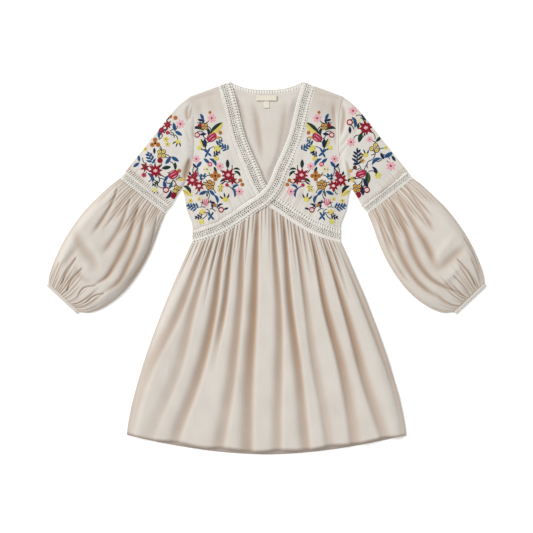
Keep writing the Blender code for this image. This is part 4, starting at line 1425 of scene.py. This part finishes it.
def dottedFlower(size, main="yellow", centre="brown", petals=5):
    rows = [petal(360 * k / petals, 0.1 * size, 0.9 * size, 0.7 * size, main, "round") for k in range(petals)]
    return rows + [disc(0, 0, 0.21 * size, centre, 3)]


def leaf(size, main="blue", other=None):
    if other:
        halves = ((0.26, main, 0.06), (0.30, other, -0.10))
        return [petal(0, 0, size, width * size, thread, bend=bend) for width, thread, bend in halves]
    ribThread = "navy" if main in ("blue", "teal") else "green"
    rib = petal(0, -0.06 * size, 0.8 * size, 0.085 * size, ribThread, layer=2)
    return [petal(0, 0, size, 0.42 * size, main), rib]


def bentLeaf(size, main="blue"):
    rows = [petal(0, 0, size, 0.32 * size, main, bend=0.2)]
    if main == "blue":
        rows.append(petal(0, -0.06 * size, 0.8 * size, 0.07 * size, "navy", bend=0.2, layer=2))
    return rows


def sprig(size, main="blue", leaves=5):
    rows = [petal(0, 0, size, 2.4, "navy", layer=0)]
    for k in range(leaves):
        at, side = size * (0.06 + 0.78 * k / leaves), 1 if k % 2 else -1
        long = (0.50 - 0.03 * k) * size
        rows.append(petal(side * (56 - 2 * k), -0.05 * long, long, 1.05 * size / leaves, main, x=at, y=0))
    return rows + [petal(0, 0, 0.36 * size, 0.85 * size / leaves, main, x=0.72 * size)]


def crossLeaves(size, main="blue"):
    return [petal(45 + 90 * k + 8 * (-1) ** k, -0.14 * size, 1.16 * size, 0.4 * size, main) for k in range(4)]


def bud(size, main="yellow", calyx="navy"):
    rows = [disc(0, 0, 0.46 * size, main, 1)]
    return rows + [petal(90 + a, 0.05 * size, size, 0.26 * size, calyx, bend=a / 260) for a in (-44, 0, 44)]


def tulip(size, main="pink", light="rose"):
    rows = [petal(90, -0.7 * size, 1.5 * size, 1.1 * size, main, "round", layer=1)]
    for a in (-17, 17):
        rows.append(petal(90 + a, -0.5 * size, 1.3 * size, 0.2 * size, light, bend=a / 200, layer=2))
    for a in (-30, 30):
        rows.append(petal(90 + a, -0.6 * size, 1.6 * size, 0.14 * size, "crimson", bend=a / 120, layer=3))
    return rows


def dot(size, main="orange"):
    return [disc(0, 0, size, main)]


motifKinds = {
    "star": starFlower, "daisy": daisy, "rose": rose, "ring": ringFlower, "blossom": blossom,
    "berries": berries, "dotted": dottedFlower, "leaf": leaf, "bent": bentLeaf, "sprig": sprig,
    "cross": crossLeaves, "bud": bud, "tulip": tulip, "dot": dot,
}

# A motif: kind, x and y from the spray's origin, angle in degrees, size, then the threads and counts that
# differ from its kind's own. All in millimetres.
bodiceSpray = {
    "origin": (-0.1313, 0.7001),
    "motifs": [
        ("dot", -5, 125, 0, 3.6), ("daisy", -1, 111, 10, 9), ("leaf", -20, 107, 118, 17),
        ("leaf", -20, 105, 168, 15, "navy"), ("leaf", -24, 98, 60, 11, "navy"),
        ("berries", -18, 91, 20, 9.5), ("dot", -30, 93, 0, 4.8, "crimson"),
        ("leaf", -5, 73, 42, 40, "green", "yellow"), ("bent", -14, 86, -80, 24, "green"),
        ("ring", -36, 71, 0, 7), ("bent", -46, 86, -10, 26, "green"), ("leaf", -30, 72, 5, 16, "navy"),
        ("rose", -1, 65, 40, 13), ("dot", 20, 76, 0, 4.4), ("dot", 15, 64, 0, 4, "ochre"),
        ("leaf", -28, 62, -70, 22, "green", "yellow"), ("leaf", -18, 62, -85, 22, "navy"),
        ("dot", -31, 40, 0, 5.5, "lemon"), ("sprig", 12, 46, 50, 18), ("sprig", 40, 34, 150, 26, "blue", 6),
        ("dotted", 13, 38, 0, 9.5, "lemon", "yellow"), ("cross", -11, 28, 10, 13),
        ("sprig", 2, 20, 35, 20, "navy"), ("dot", 10, 14, 0, 6, "yellow"), ("bent", -7, 13, -48, 24),
        ("leaf", -20, 14, -40, 18), ("ring", -5, 0, 30, 6, "rose", "pink"), ("daisy", -38, 13, 5, 8),
        ("daisy", 19, -5, 30, 8, "pink", "rose"), ("daisy", 66, -66, 0, 8.5), ("leaf", -38, -8, 49, 19),
        ("leaf", -38, -8, 130, 13, "navy"), ("leaf", -51, -27, 122, 14, "navy"),
        ("star", -41, -23, 20, 9.5, "crimson", "rose", 6), ("dotted", -12, -12, 0, 9.5, "cream", "olive"),
        ("leaf", 38, -10, 92, 21, "green"), ("star", 39, -26, 8, 18), ("bent", 51, -13, -4, 16, "green"),
        ("bent", 53, -17, -40, 19, "green"), ("star", 50, -39, 20, 12.5, "crimson", "brown", 6),
        ("dot", 68, -39, 0, 4.6), ("dot", 73, -49, 0, 4.6), ("blossom", 8, -28, 0, 12.5),
        ("leaf", 11, -20, 115, 15, "green"), ("star", -48, -38, 0, 18),
        ("star", -31, -52, 15, 15, "crimson", "blush", 7),
        ("berries", -5, -50, 0, 12.5, "ochre", "brown", 5), ("sprig", -31, -34, 35, 18, "teal", 3),
        ("bent", 20, -44, 18, 20, "green"), ("bent", 49, -61, 33, 19), ("bent", 49, -60, -76, 20),
        ("dot", 36, -50, 0, 4.4, "rose"), ("dotted", 23, -54, 0, 6.5), ("dotted", 18, -62, 20, 6),
        ("bud", 32, -84, 12, 15, "lemon"), ("leaf", -72, -62, -30, 28, "yellow"),
        ("bent", -70, -52, -48, 26, "green"), ("leaf", -6, -62, -49, 18), ("bent", 4, -74, -68, 22),
        ("leaf", -31, -73, 24, 20, "teal"), ("tulip", -15, -93, 10, 12.5), ("dotted", -52, -88, 0, 6.5),
        ("dotted", -31, -84, 15, 5.5), ("sprig", -32, -106, 168, 30, "blue", 7),
        ("dotted", -24, -115, 20, 8, "yellow", "lemon"), ("cross", -3, -125, 5, 12),
        ("sprig", -22, -122, 205, 20, "navy"), ("dot", -26, -138, 0, 6, "lemon"), ("ring", 22, -110, 0, 7),
        ("leaf", 28, -109, 18, 12, "navy"), ("bent", 13, -105, 33, 16, "navy"), ("dot", 7, -99, 0, 4),
        ("leaf", -6, -91, -12, 14, "navy"), ("leaf", -1, -95, -76, 12, "navy"),
    ],
    "stems": [  # from, to, bend, thread
        (-12, 92, -2, 76, 0.2, "green"), (10, 57, 22, 44, -0.2, "green"), (0, 55, -10, 30, -0.5, "green"),
        (14, 30, 8, 20, 0.1, "navy"), (-34, -8, -20, -36, -0.2, "teal"), (-20, -36, 4, -32, 0.3, "green"),
        (-30, -45, -12, -78, 0.3, "green"), (-12, -78, -4, -64, 0.3, "green"),
        (36, -52, 49, -60, 0.1, "navy"), (-12, -64, -10, -84, 0.25, "teal"),
        (-14, -108, -8, -124, 0.3, "navy"), (-30, -104, -16, -104, 0.1, "navy"),
        (2, -97, 18, -112, 0.1, "navy"), (-26, -100, -16, -88, 0.1, "green"),
        (-28, 100, -16, 92, 0.2, "green"), (-30, 102, -8, 104, -0.2, "navy"),
        (-12, 88, -6, 68, 0.2, "green"), (-8, 84, 4, 76, -0.3, "green"), (-36, 78, -20, 76, 0.2, "navy"),
        (8, 60, 24, 62, 0.3, "green"), (-12, 28, 14, 42, 0.2, "blue"), (6, 42, 18, 28, -0.2, "navy"),
        (-36, -6, -48, -30, 0.1, "navy"), (-20, -12, -4, -26, 0.1, "green"),
        (20, -14, 26, -22, 0.1, "green"), (-54, -42, -66, -56, 0.2, "green"),
        (-4, -58, 8, -70, 0.2, "green"), (22, -48, 40, -44, 0.2, "navy"), (49, -61, 60, -66, 0.2, "navy"),
        (-2, -86, -18, -92, 0.2, "navy"), (-8, -116, -26, -110, 0.2, "navy"),
        (-12, -120, -24, -132, 0.1, "navy"), (-36, 100, -24, 92, 0.2, "navy"),
        (-22, 76, -10, 60, -0.2, "navy"), (18, 42, 34, 40, 0.2, "navy"), (-16, 34, -26, 40, 0.2, "navy"),
        (-44, -6, -40, -28, -0.2, "navy"), (48, -2, 40, -20, 0.2, "green"),
        (58, -18, 46, -26, 0.2, "green"), (30, -40, 20, -48, 0.2, "navy"), (60, -46, 72, -42, 0.1, "navy"),
        (-14, -38, 6, -42, -0.3, "navy"), (-22, -44, -10, -50, 0.2, "green"),
        (14, -54, 24, -66, 0.2, "green"), (-34, -60, -40, -72, 0.2, "navy"),
        (-17, 36, -30, 40, 0.2, "navy"), (-28, -92, -18, -98, 0.2, "navy"),
        (-52, -100, -32, -104, 0.2, "navy"), (-6, -108, 8, -114, 0.2, "navy"),
        (26, -104, 12, -96, 0.2, "navy"),
    ],
}

sleeveSprays = {
    "Right": {
        "origin": (-0.2446, 0.7363),
        "motifs": [
            ("dot", 12, 80, 0, 5), ("dot", 25, 76, 0, 5), ("daisy", 37, 61, 0, 9),
            ("star", 6, 59, 0, 12, "crimson", "rose", 7), ("star", -9, 46, 12, 12, "crimson", "rose", 7),
            ("leaf", 2, 70, 52, 16, "green"), ("leaf", 24, 44, 100, 20), ("leaf", 24, 44, -32, 20),
            ("dot", 6, 40, 0, 4.5, "rose"), ("bent", -14, 25, 66, 26, "teal"),
            ("bud", 31, 18, 160, 13, "lemon", "green"), ("dotted", 2, 24, 0, 7), ("dotted", 6, 12, 20, 6.5),
            ("blossom", -24, 15, 90, 13, "orange", "brown", 3), ("leaf", -26, 4, -88, 15, "green"),
            ("leaf", -32, 25, 140, 9, "green"), ("berries", -8, -11, 25, 12, "yellow"),
            ("dot", -12, -27, 0, 6.5, "crimson"), ("dotted", -48, 1, 0, 6),
            ("sprig", -30, -36, 112, 30, "blue", 6), ("leaf", -62, -30, 100, 16),
            ("leaf", -62, -32, 215, 18), ("leaf", 14, -20, -130, 20), ("leaf", 15, -18, -32, 21),
            ("star", -23, -52, 5, 19), ("star", -48, -44, 20, 12.5, "crimson", "brown", 6),
            ("leaf", -8, -46, 8, 22, "green"), ("leaf", 25, -50, 92, 18, "green"),
            ("daisy", -51, -62, 0, 5.5, "rose"), ("rose", 20, -61, 30, 13), ("dot", 34, -52, 0, 4.6),
            ("bent", -42, -58, -62, 25), ("leaf", -2, -78, 58, 17), ("leaf", -3, -76, -78, 20),
            ("leaf", 18, -80, -120, 16, "teal"), ("bud", -25, -99, 170, 13, "lemon", "green"),
            ("sprig", -14, -80, 205, 18, "green"), ("ring", 2, -98, 0, 8),
            ("bent", 14, -98, -125, 24, "navy"), ("berries", 30, -98, 0, 12, "yellow"),
            ("dot", 21, -112, 0, 7.5, "crimson"), ("leaf", 30, -75, 15, 20, "yellow"),
        ],
        "stems": [
            (-2, 38, 8, 50, 0.1, "green"), (12, 44, 26, 48, 0.1, "green"), (14, 42, 22, 28, 0.2, "green"),
            (-14, 4, -10, -2, 0.1, "green"), (-58, -36, -46, -40, 0.1, "navy"),
            (-36, -36, -28, -44, 0.1, "navy"), (-16, -68, -18, -82, 0.3, "green"),
            (-14, -70, 4, -78, 0.1, "green"), (2, -80, 18, -78, -0.2, "navy"),
            (20, -74, 28, -90, 0.1, "green"), (0, -18, 14, -18, -0.2, "navy"),
            (26, -74, 40, -68, 0.1, "green"), (0, 72, 10, 60, 0.1, "green"), (4, 54, -6, 44, 0.2, "green"),
            (10, 42, 22, 34, -0.2, "green"), (24, 34, 30, 22, 0.2, "green"),
            (-20, 12, -8, -6, 0.2, "green"), (-4, -14, 12, -20, 0.2, "navy"),
            (-26, -30, -24, -44, 0.1, "navy"), (-30, -60, -40, -78, 0.2, "navy"),
            (-20, -62, -14, -76, 0.2, "green"), (6, -56, 16, -62, 0.1, "green"),
            (20, -68, 8, -92, 0.1, "navy"), (24, -84, 18, -104, 0.1, "navy"),
            (30, 56, 24, 46, 0.1, "green"), (-6, 36, -16, 24, 0.2, "navy"),
            (-40, -8, -30, -22, 0.2, "navy"), (-54, -20, -44, -36, -0.2, "navy"),
            (-8, -34, -16, -44, 0.2, "green"), (12, -30, 22, -44, 0.2, "navy"),
            (-28, -72, -20, -94, 0.2, "green"), (-2, -92, -16, -88, 0.2, "navy"),
            (10, -96, 26, -90, 0.2, "navy"), (-44, -54, -50, -60, 0.1, "navy"),
            (6, -66, -8, -62, 0.2, "green"), (34, -62, 28, -72, 0.2, "green"),
        ],
    },
    "Left": {
        "origin": (0.2398, 0.7363),
        "motifs": [
            ("daisy", -31, 93, 0, 9), ("ring", -39, 65, 0, 8), ("leaf", -39, 55, -88, 17, "navy"),
            ("bent", -34, 78, -76, 26, "teal"), ("dotted", -18, 70, 0, 5.5, "cream", "yellow"),
            ("leaf", -10, 87, -62, 20, "green"), ("leaf", -19, 48, 88, 15, "green"), ("star", 0, 52, 8, 20),
            ("leaf", -10, 41, -107, 25, "green"), ("daisy", -36, 17, 0, 9),
            ("daisy", 9, 24, 20, 6.5, "pink", "rose"), ("leaf", 24, 18, 45, 18, "green"),
            ("berries", 21, 3, 50, 13, "yellow", "brown", 3), ("leaf", 35, -8, -62, 18, "navy"),
            ("dotted", 48, 4, 0, 5, "lemon", "olive"), ("sprig", -20, -38, 92, 38, "navy", 7),
            ("bud", -1, -14, 20, 14, "yellow", "green"), ("dotted", -9, -28, 0, 6.5, "ochre"),
            ("leaf", -32, -36, 5, 16, "navy"), ("bent", 15, -38, 35, 26),
            ("bent", 14, -42, -68, 24, "navy"), ("leaf", 44, -20, 32, 24),
            ("leaf", 62, -15, -55, 16, "navy"), ("daisy", 60, -40, 10, 10),
            ("dot", -27, -44, 0, 4.8, "brown"), ("dot", -37, -52, 0, 4.4, "ochre"),
            ("rose", -12, -59, 20, 12.5), ("dotted", 29, -63, 10, 9, "lemon", "lemon"),
            ("leaf", 3, -85, 88, 29, "green", "olive"), ("dotted", -34, -72, 0, 8, "yellow", "yellow"),
            ("bent", -46, -82, 25, 26, "navy"), ("berries", -22, -94, 15, 12),
            ("dot", -19, -110, 0, 7.5, "crimson"), ("ring", 2, -98, 0, 8),
            ("leaf", -6, -70, -65, 24, "navy"), ("leaf", -11, -86, -80, 25, "navy"),
        ],
        "stems": [
            (13, 2, 14, -26, 0.3, "navy"), (14, -26, 4, -46, -0.3, "navy"),
            (-18, -38, -12, -50, 0.1, "navy"), (-34, -76, -12, -70, 0.1, "navy"),
            (-8, -70, -18, -86, 0.1, "green"), (-4, -50, 4, -36, 0.1, "navy"),
            (-28, 76, -36, 72, 0.1, "navy"), (-24, 80, -10, 80, 0.2, "green"),
            (-14, 76, -4, 62, 0.2, "green"), (-12, 46, -2, 32, 0.2, "green"),
            (10, 44, 22, 24, 0.2, "green"), (22, 14, 32, -4, 0.2, "navy"), (36, -14, 58, -24, 0.2, "navy"),
            (30, -4, 46, 2, 0.2, "olive"), (-20, -30, -4, -16, 0.2, "green"),
            (-26, -40, -38, -50, 0.2, "navy"), (18, -44, 30, -60, 0.1, "navy"),
            (4, -66, -6, -88, 0.2, "green"), (-30, -78, -24, -90, 0.2, "navy"),
            (-6, -72, 2, -94, 0.1, "navy"), (-22, -62, -36, -70, 0.2, "navy"),
            (-38, 58, -30, 48, 0.2, "navy"), (-30, 66, -14, 56, -0.2, "navy"),
            (12, 60, 22, 44, 0.2, "green"), (-4, 38, -14, 26, 0.2, "green"),
            (-30, 24, -18, 34, 0.2, "green"), (16, 20, 26, 10, 0.2, "green"),
            (26, -2, 12, -14, 0.2, "navy"), (40, -18, 26, -30, 0.2, "navy"),
            (-28, -32, -14, -24, 0.2, "green"), (-16, -46, -30, -46, 0.2, "navy"),
            (6, -54, 24, -58, 0.2, "navy"), (0, -80, -14, -92, 0.2, "green"), (8, -62, 0, -50, 0.2, "navy"),
            (-10, -70, -11, -88, 0.05, "navy"), (50, -28, 58, -36, 0.1, "green"),
            (-40, -72, -26, -74, 0.2, "navy"),
        ],
    },
}


def nearerNeck(x, y):
    # how much nearer the neck the wearer's left spray lies than the mirror image of the other, in millimetres
    return max(10 * smooth((y + 45) / 115), 8 * smooth((y + 110) / 60) * min(max((x + 40) / 80, 0), 1))


def sprayStrips(spray, mirror):
    sign = np.array((-1.0 if mirror else 1.0, 1.0))
    for kind, x, y, angle, size, *threads in spray["motifs"]:
        x = x + nearerNeck(x, y) if mirror else x
        for path, half, thread, layer in motifKinds[kind](size * embroidery["grow"], *threads):
            yield (turned(path, angle, x, y) / 1000 + spray["origin"]) * sign, half / 1000, thread, layer
    for x0, y0, x1, y1, bend, thread in spray["stems"]:
        if mirror:
            x0, x1 = x0 + nearerNeck(x0, y0), x1 + nearerNeck(x1, y1)
        length = math.hypot(x1 - x0, y1 - y0)
        t = steps(length)
        path = turned(np.column_stack([length * t, 4 * bend * length * (t - t * t)]),
                      math.degrees(math.atan2(y1 - y0, x1 - x0)), x0, y0)
        yield (path / 1000 + spray["origin"]) * sign, np.full(len(t), embroidery["stem"]), thread, 0


def surfaceTree(panel):
    return BVHTree.FromPolygons([tuple(v.co) for v in panel.data.vertices],
                                [tuple(f.vertices) for f in panel.data.polygons])


def heightOn(tree, at):
    hit = tree.ray_cast(Vector((at[0], at[1] + dress["planShiftY"], 0.1)), Vector((0, 0, -1)))[0]
    return hit.z if hit else np.nan


def embroider(name, panel, spray, mirror=False):
    tree = surfaceTree(panel)
    names = list(floss)
    across = spread(-1, 1, embroidery["across"])
    points, faces, uv, slots, start = [], [], [], [], 0
    for path, half, thread, layer in sprayStrips(spray, mirror):
        normal = curveNormals(path)
        width = half[:, None] * across
        flat = path[:, None] + normal[:, None] * width[..., None]
        full = np.sqrt(np.clip(half / 0.0016, 0, 1))[:, None]
        ridge = 0.00012 * (-1) ** np.arange(len(path))[:, None]
        rise = (embroidery["dome"] * full + ridge) * (1 - across**2)
        rise = rise + layer * embroidery["layerLift"] - 0.0001
        height = np.array([[heightOn(tree, at) for at in row] for row in flat])
        quads = gridFaces(*height.shape)
        kept = quads[~np.isnan(height.ravel()[quads]).any(axis=1)]
        if not len(kept):
            continue
        ahead = path[2] - path[1]
        if normal[1, 0] * ahead[1] - normal[1, 1] * ahead[0] > 0:
            kept = kept[:, ::-1]
        stitched = np.concatenate([flat, (np.nan_to_num(height) + rise)[..., None]], axis=-1)
        along = np.broadcast_to(lengthsAlong(path)[:, None], width.shape)
        points.append(stitched.reshape(-1, 3))
        uv.append(np.stack([along, width], axis=-1).reshape(-1, 2))
        faces.append(kept + start)
        slots.append(np.full(len(kept), names.index(thread)))
        start += height.size
    points, faces, uv, slots = np.vstack(points), np.vstack(faces), np.vstack(uv), np.concatenate(slots)
    used, where = np.unique(faces, return_inverse=True)
    threads, slots = np.unique(slots, return_inverse=True)
    colours = [floss[names[k]] for k in threads]
    made = makeMesh(name, points[used], where.reshape(faces.shape), colours, uv[used], slots)
    declare(made, "viscose_crepe")


embroider("embroideryBodiceRight", bodiceRight, bodiceSpray)
embroider("embroideryBodiceLeft", bodiceLeft, bodiceSpray, mirror=True)
for side, spray in sleeveSprays.items():
    embroider("embroiderySleeve" + side, upperSleeves[side], spray)
print("embroidery stitched")


# Sewing

sewing = {"stitch": 0.0022, "gap": 0.0010, "radius": 0.00026, "hem": 0.0062}


def stitchRow(name, panel, lines):
    # lockstitch along lines in plan: short threads that sink into the cloth at both ends
    tree = surfaceTree(panel)
    t = spread(0, 1, 5)
    lift = sewing["radius"] * (1.4 * np.sin(math.pi * t) - 0.4)
    stitches = []
    for line in lines:
        along = lengthsAlong(line)
        for start in np.arange(0, along[-1] - sewing["stitch"], sewing["stitch"] + sewing["gap"]):
            xy = pointsAt(line, along, start + sewing["stitch"] * t)
            z = [heightOn(tree, p) for p in xy]
            if not np.isnan(z).any():
                stitches.append(np.column_stack([xy, z + lift]))
    points, faces, uv = sweepTubes(stitches, sewing["radius"], 5)
    declare(makeMesh(name, points, faces, [polyesterThreadSpun], uv), "viscose_crepe")


def frontHemLine(inset):
    share = spread(-0.985, 0.985, 300)
    return np.column_stack([share * skirt["hemHalf"] * 0.997, frontHem(share) + inset])


def labelLines():
    half = label["size"][0] / 2 - 0.0012
    top, low = label["topY"] - 0.0008, label["topY"] - label["size"][1] + 0.0008
    return [np.array([(x, top), (x, low)]) for x in (-half, half)]


stitchRow("hemStitches", skirtFront, [frontHemLine(sewing["hem"])])
stitchRow("labelStitches", neckLabel, labelLines())
for side, made in cuffs.items():
    middle = cuffPoint(spread(0.04, 0.96, 80), np.full(80, sleeve["cuffWidth"] * 0.8)) * sideSign(side)
    stitchRow("cuffStitches" + side, made, [middle])
print("sewing done")


# Cuts

# Width and length of each piece before sewing, all round on a tube; the share of them that its cloth fills;
# how it is held; and what is worked on it. A pair has its two names' endings.
cutPieces = [
    ("laceFront{}", ("Over", "Under"), (0.034, 0.498), 0.85, "laid", ["laceFront{}Yarn"]),
    ("laceBackNeck", ("",), (0.012, 0.180), 0.85, "laid", ["laceBackNeckYarn"]),
    ("laceSleeve{}", ("Left", "Right"), (0.024, 0.279), 0.85, "laid", ["laceSleeve{}Yarn"]),
    ("bodiceFront{}", ("Left", "Right"), (0.24, 0.37), 0.45, "laid", ["embroideryBodice{}"]),
    ("bodiceBack", ("",), (0.41, 0.39), 0.90, "laid", []),
    ("skirtFront", ("",), (0.80, 0.54), 0.82, "gathered", ["hemStitches"]),
    ("skirtBack", ("",), (0.76, 0.51), 0.80, "gathered", []),
    ("sleeveUpper{}", ("Left", "Right"), (0.42, 0.20), 0.68, "laid", ["embroiderySleeve{}"]),
    ("sleeveLower{}", ("Left", "Right"), (0.42, 0.34), 0.92, "gathered", []),
    ("cuff{}", ("Left", "Right"), (0.21, 0.018), 0.6, "stretched", ["cuffStitches{}"]),
    ("neckLabel", ("",), (0.050, 0.013), 1.0, "laid", ["labelStitches"]),
    ("sizeLabel", ("",), (0.014, 0.018), 1.0, "laid", []),
]
for name, ends, flat, filled, held, worked in cutPieces:
    for end in ends:
        [bpy.data.objects[w.format(end)] for w in worked]


# Floor, light and camera

studio = {
    "cameraLens": 85,
    "sensorWidth": 36,
    "frameWidth": 1.2845,  # what 533 pixels cover on the cloth
    "cameraY": 0.0036,
    "clothMiddleZ": 0.008,
    "sunStrength": 2.18,
    "sunAngle": 30,  # degrees: a big soft source
    "sunFrom": (-0.75, 0.55, 0.82),
    "worldStrength": 0.62,
    "floorHalf": 4.0,
    "floorZ": -0.0006,
}


def makeFloor():
    half, z = studio["floorHalf"], studio["floorZ"]
    corners = np.array([(-half, -half, z), (half, -half, z), (half, half, z), (-half, half, z)])
    makeMesh("floor", corners - (0, dress["planShiftY"], 0), [(0, 1, 2, 3)], [makePaper()])


def addSun():
    light = bpy.data.lights.new("softKey", "SUN")
    light.energy = studio["sunStrength"]
    light.angle = math.radians(studio["sunAngle"])
    link("softKey", light).rotation_euler = (-Vector(studio["sunFrom"])).to_track_quat("-Z", "Y").to_euler()


def addWorld():
    world = bpy.data.worlds.new("studioWorld")
    world.use_nodes = True
    background = world.node_tree.nodes["Background"]
    background.inputs["Color"].default_value = (1, 1, 1, 1)
    background.inputs["Strength"].default_value = studio["worldStrength"]
    bpy.context.scene.world = world
    bpy.context.scene.view_settings.view_transform = "Standard"


def addCamera():
    camera = bpy.data.cameras.new("camera")
    camera.lens = studio["cameraLens"]
    camera.sensor_width = studio["sensorWidth"]
    away = studio["frameWidth"] / studio["sensorWidth"] * studio["cameraLens"]
    made = link("camera", camera)
    made.location = (0, studio["cameraY"], away + studio["clothMiddleZ"])
    bpy.context.scene.camera = made


makeFloor()
addSun()
addWorld()
addCamera()
print("studio made")
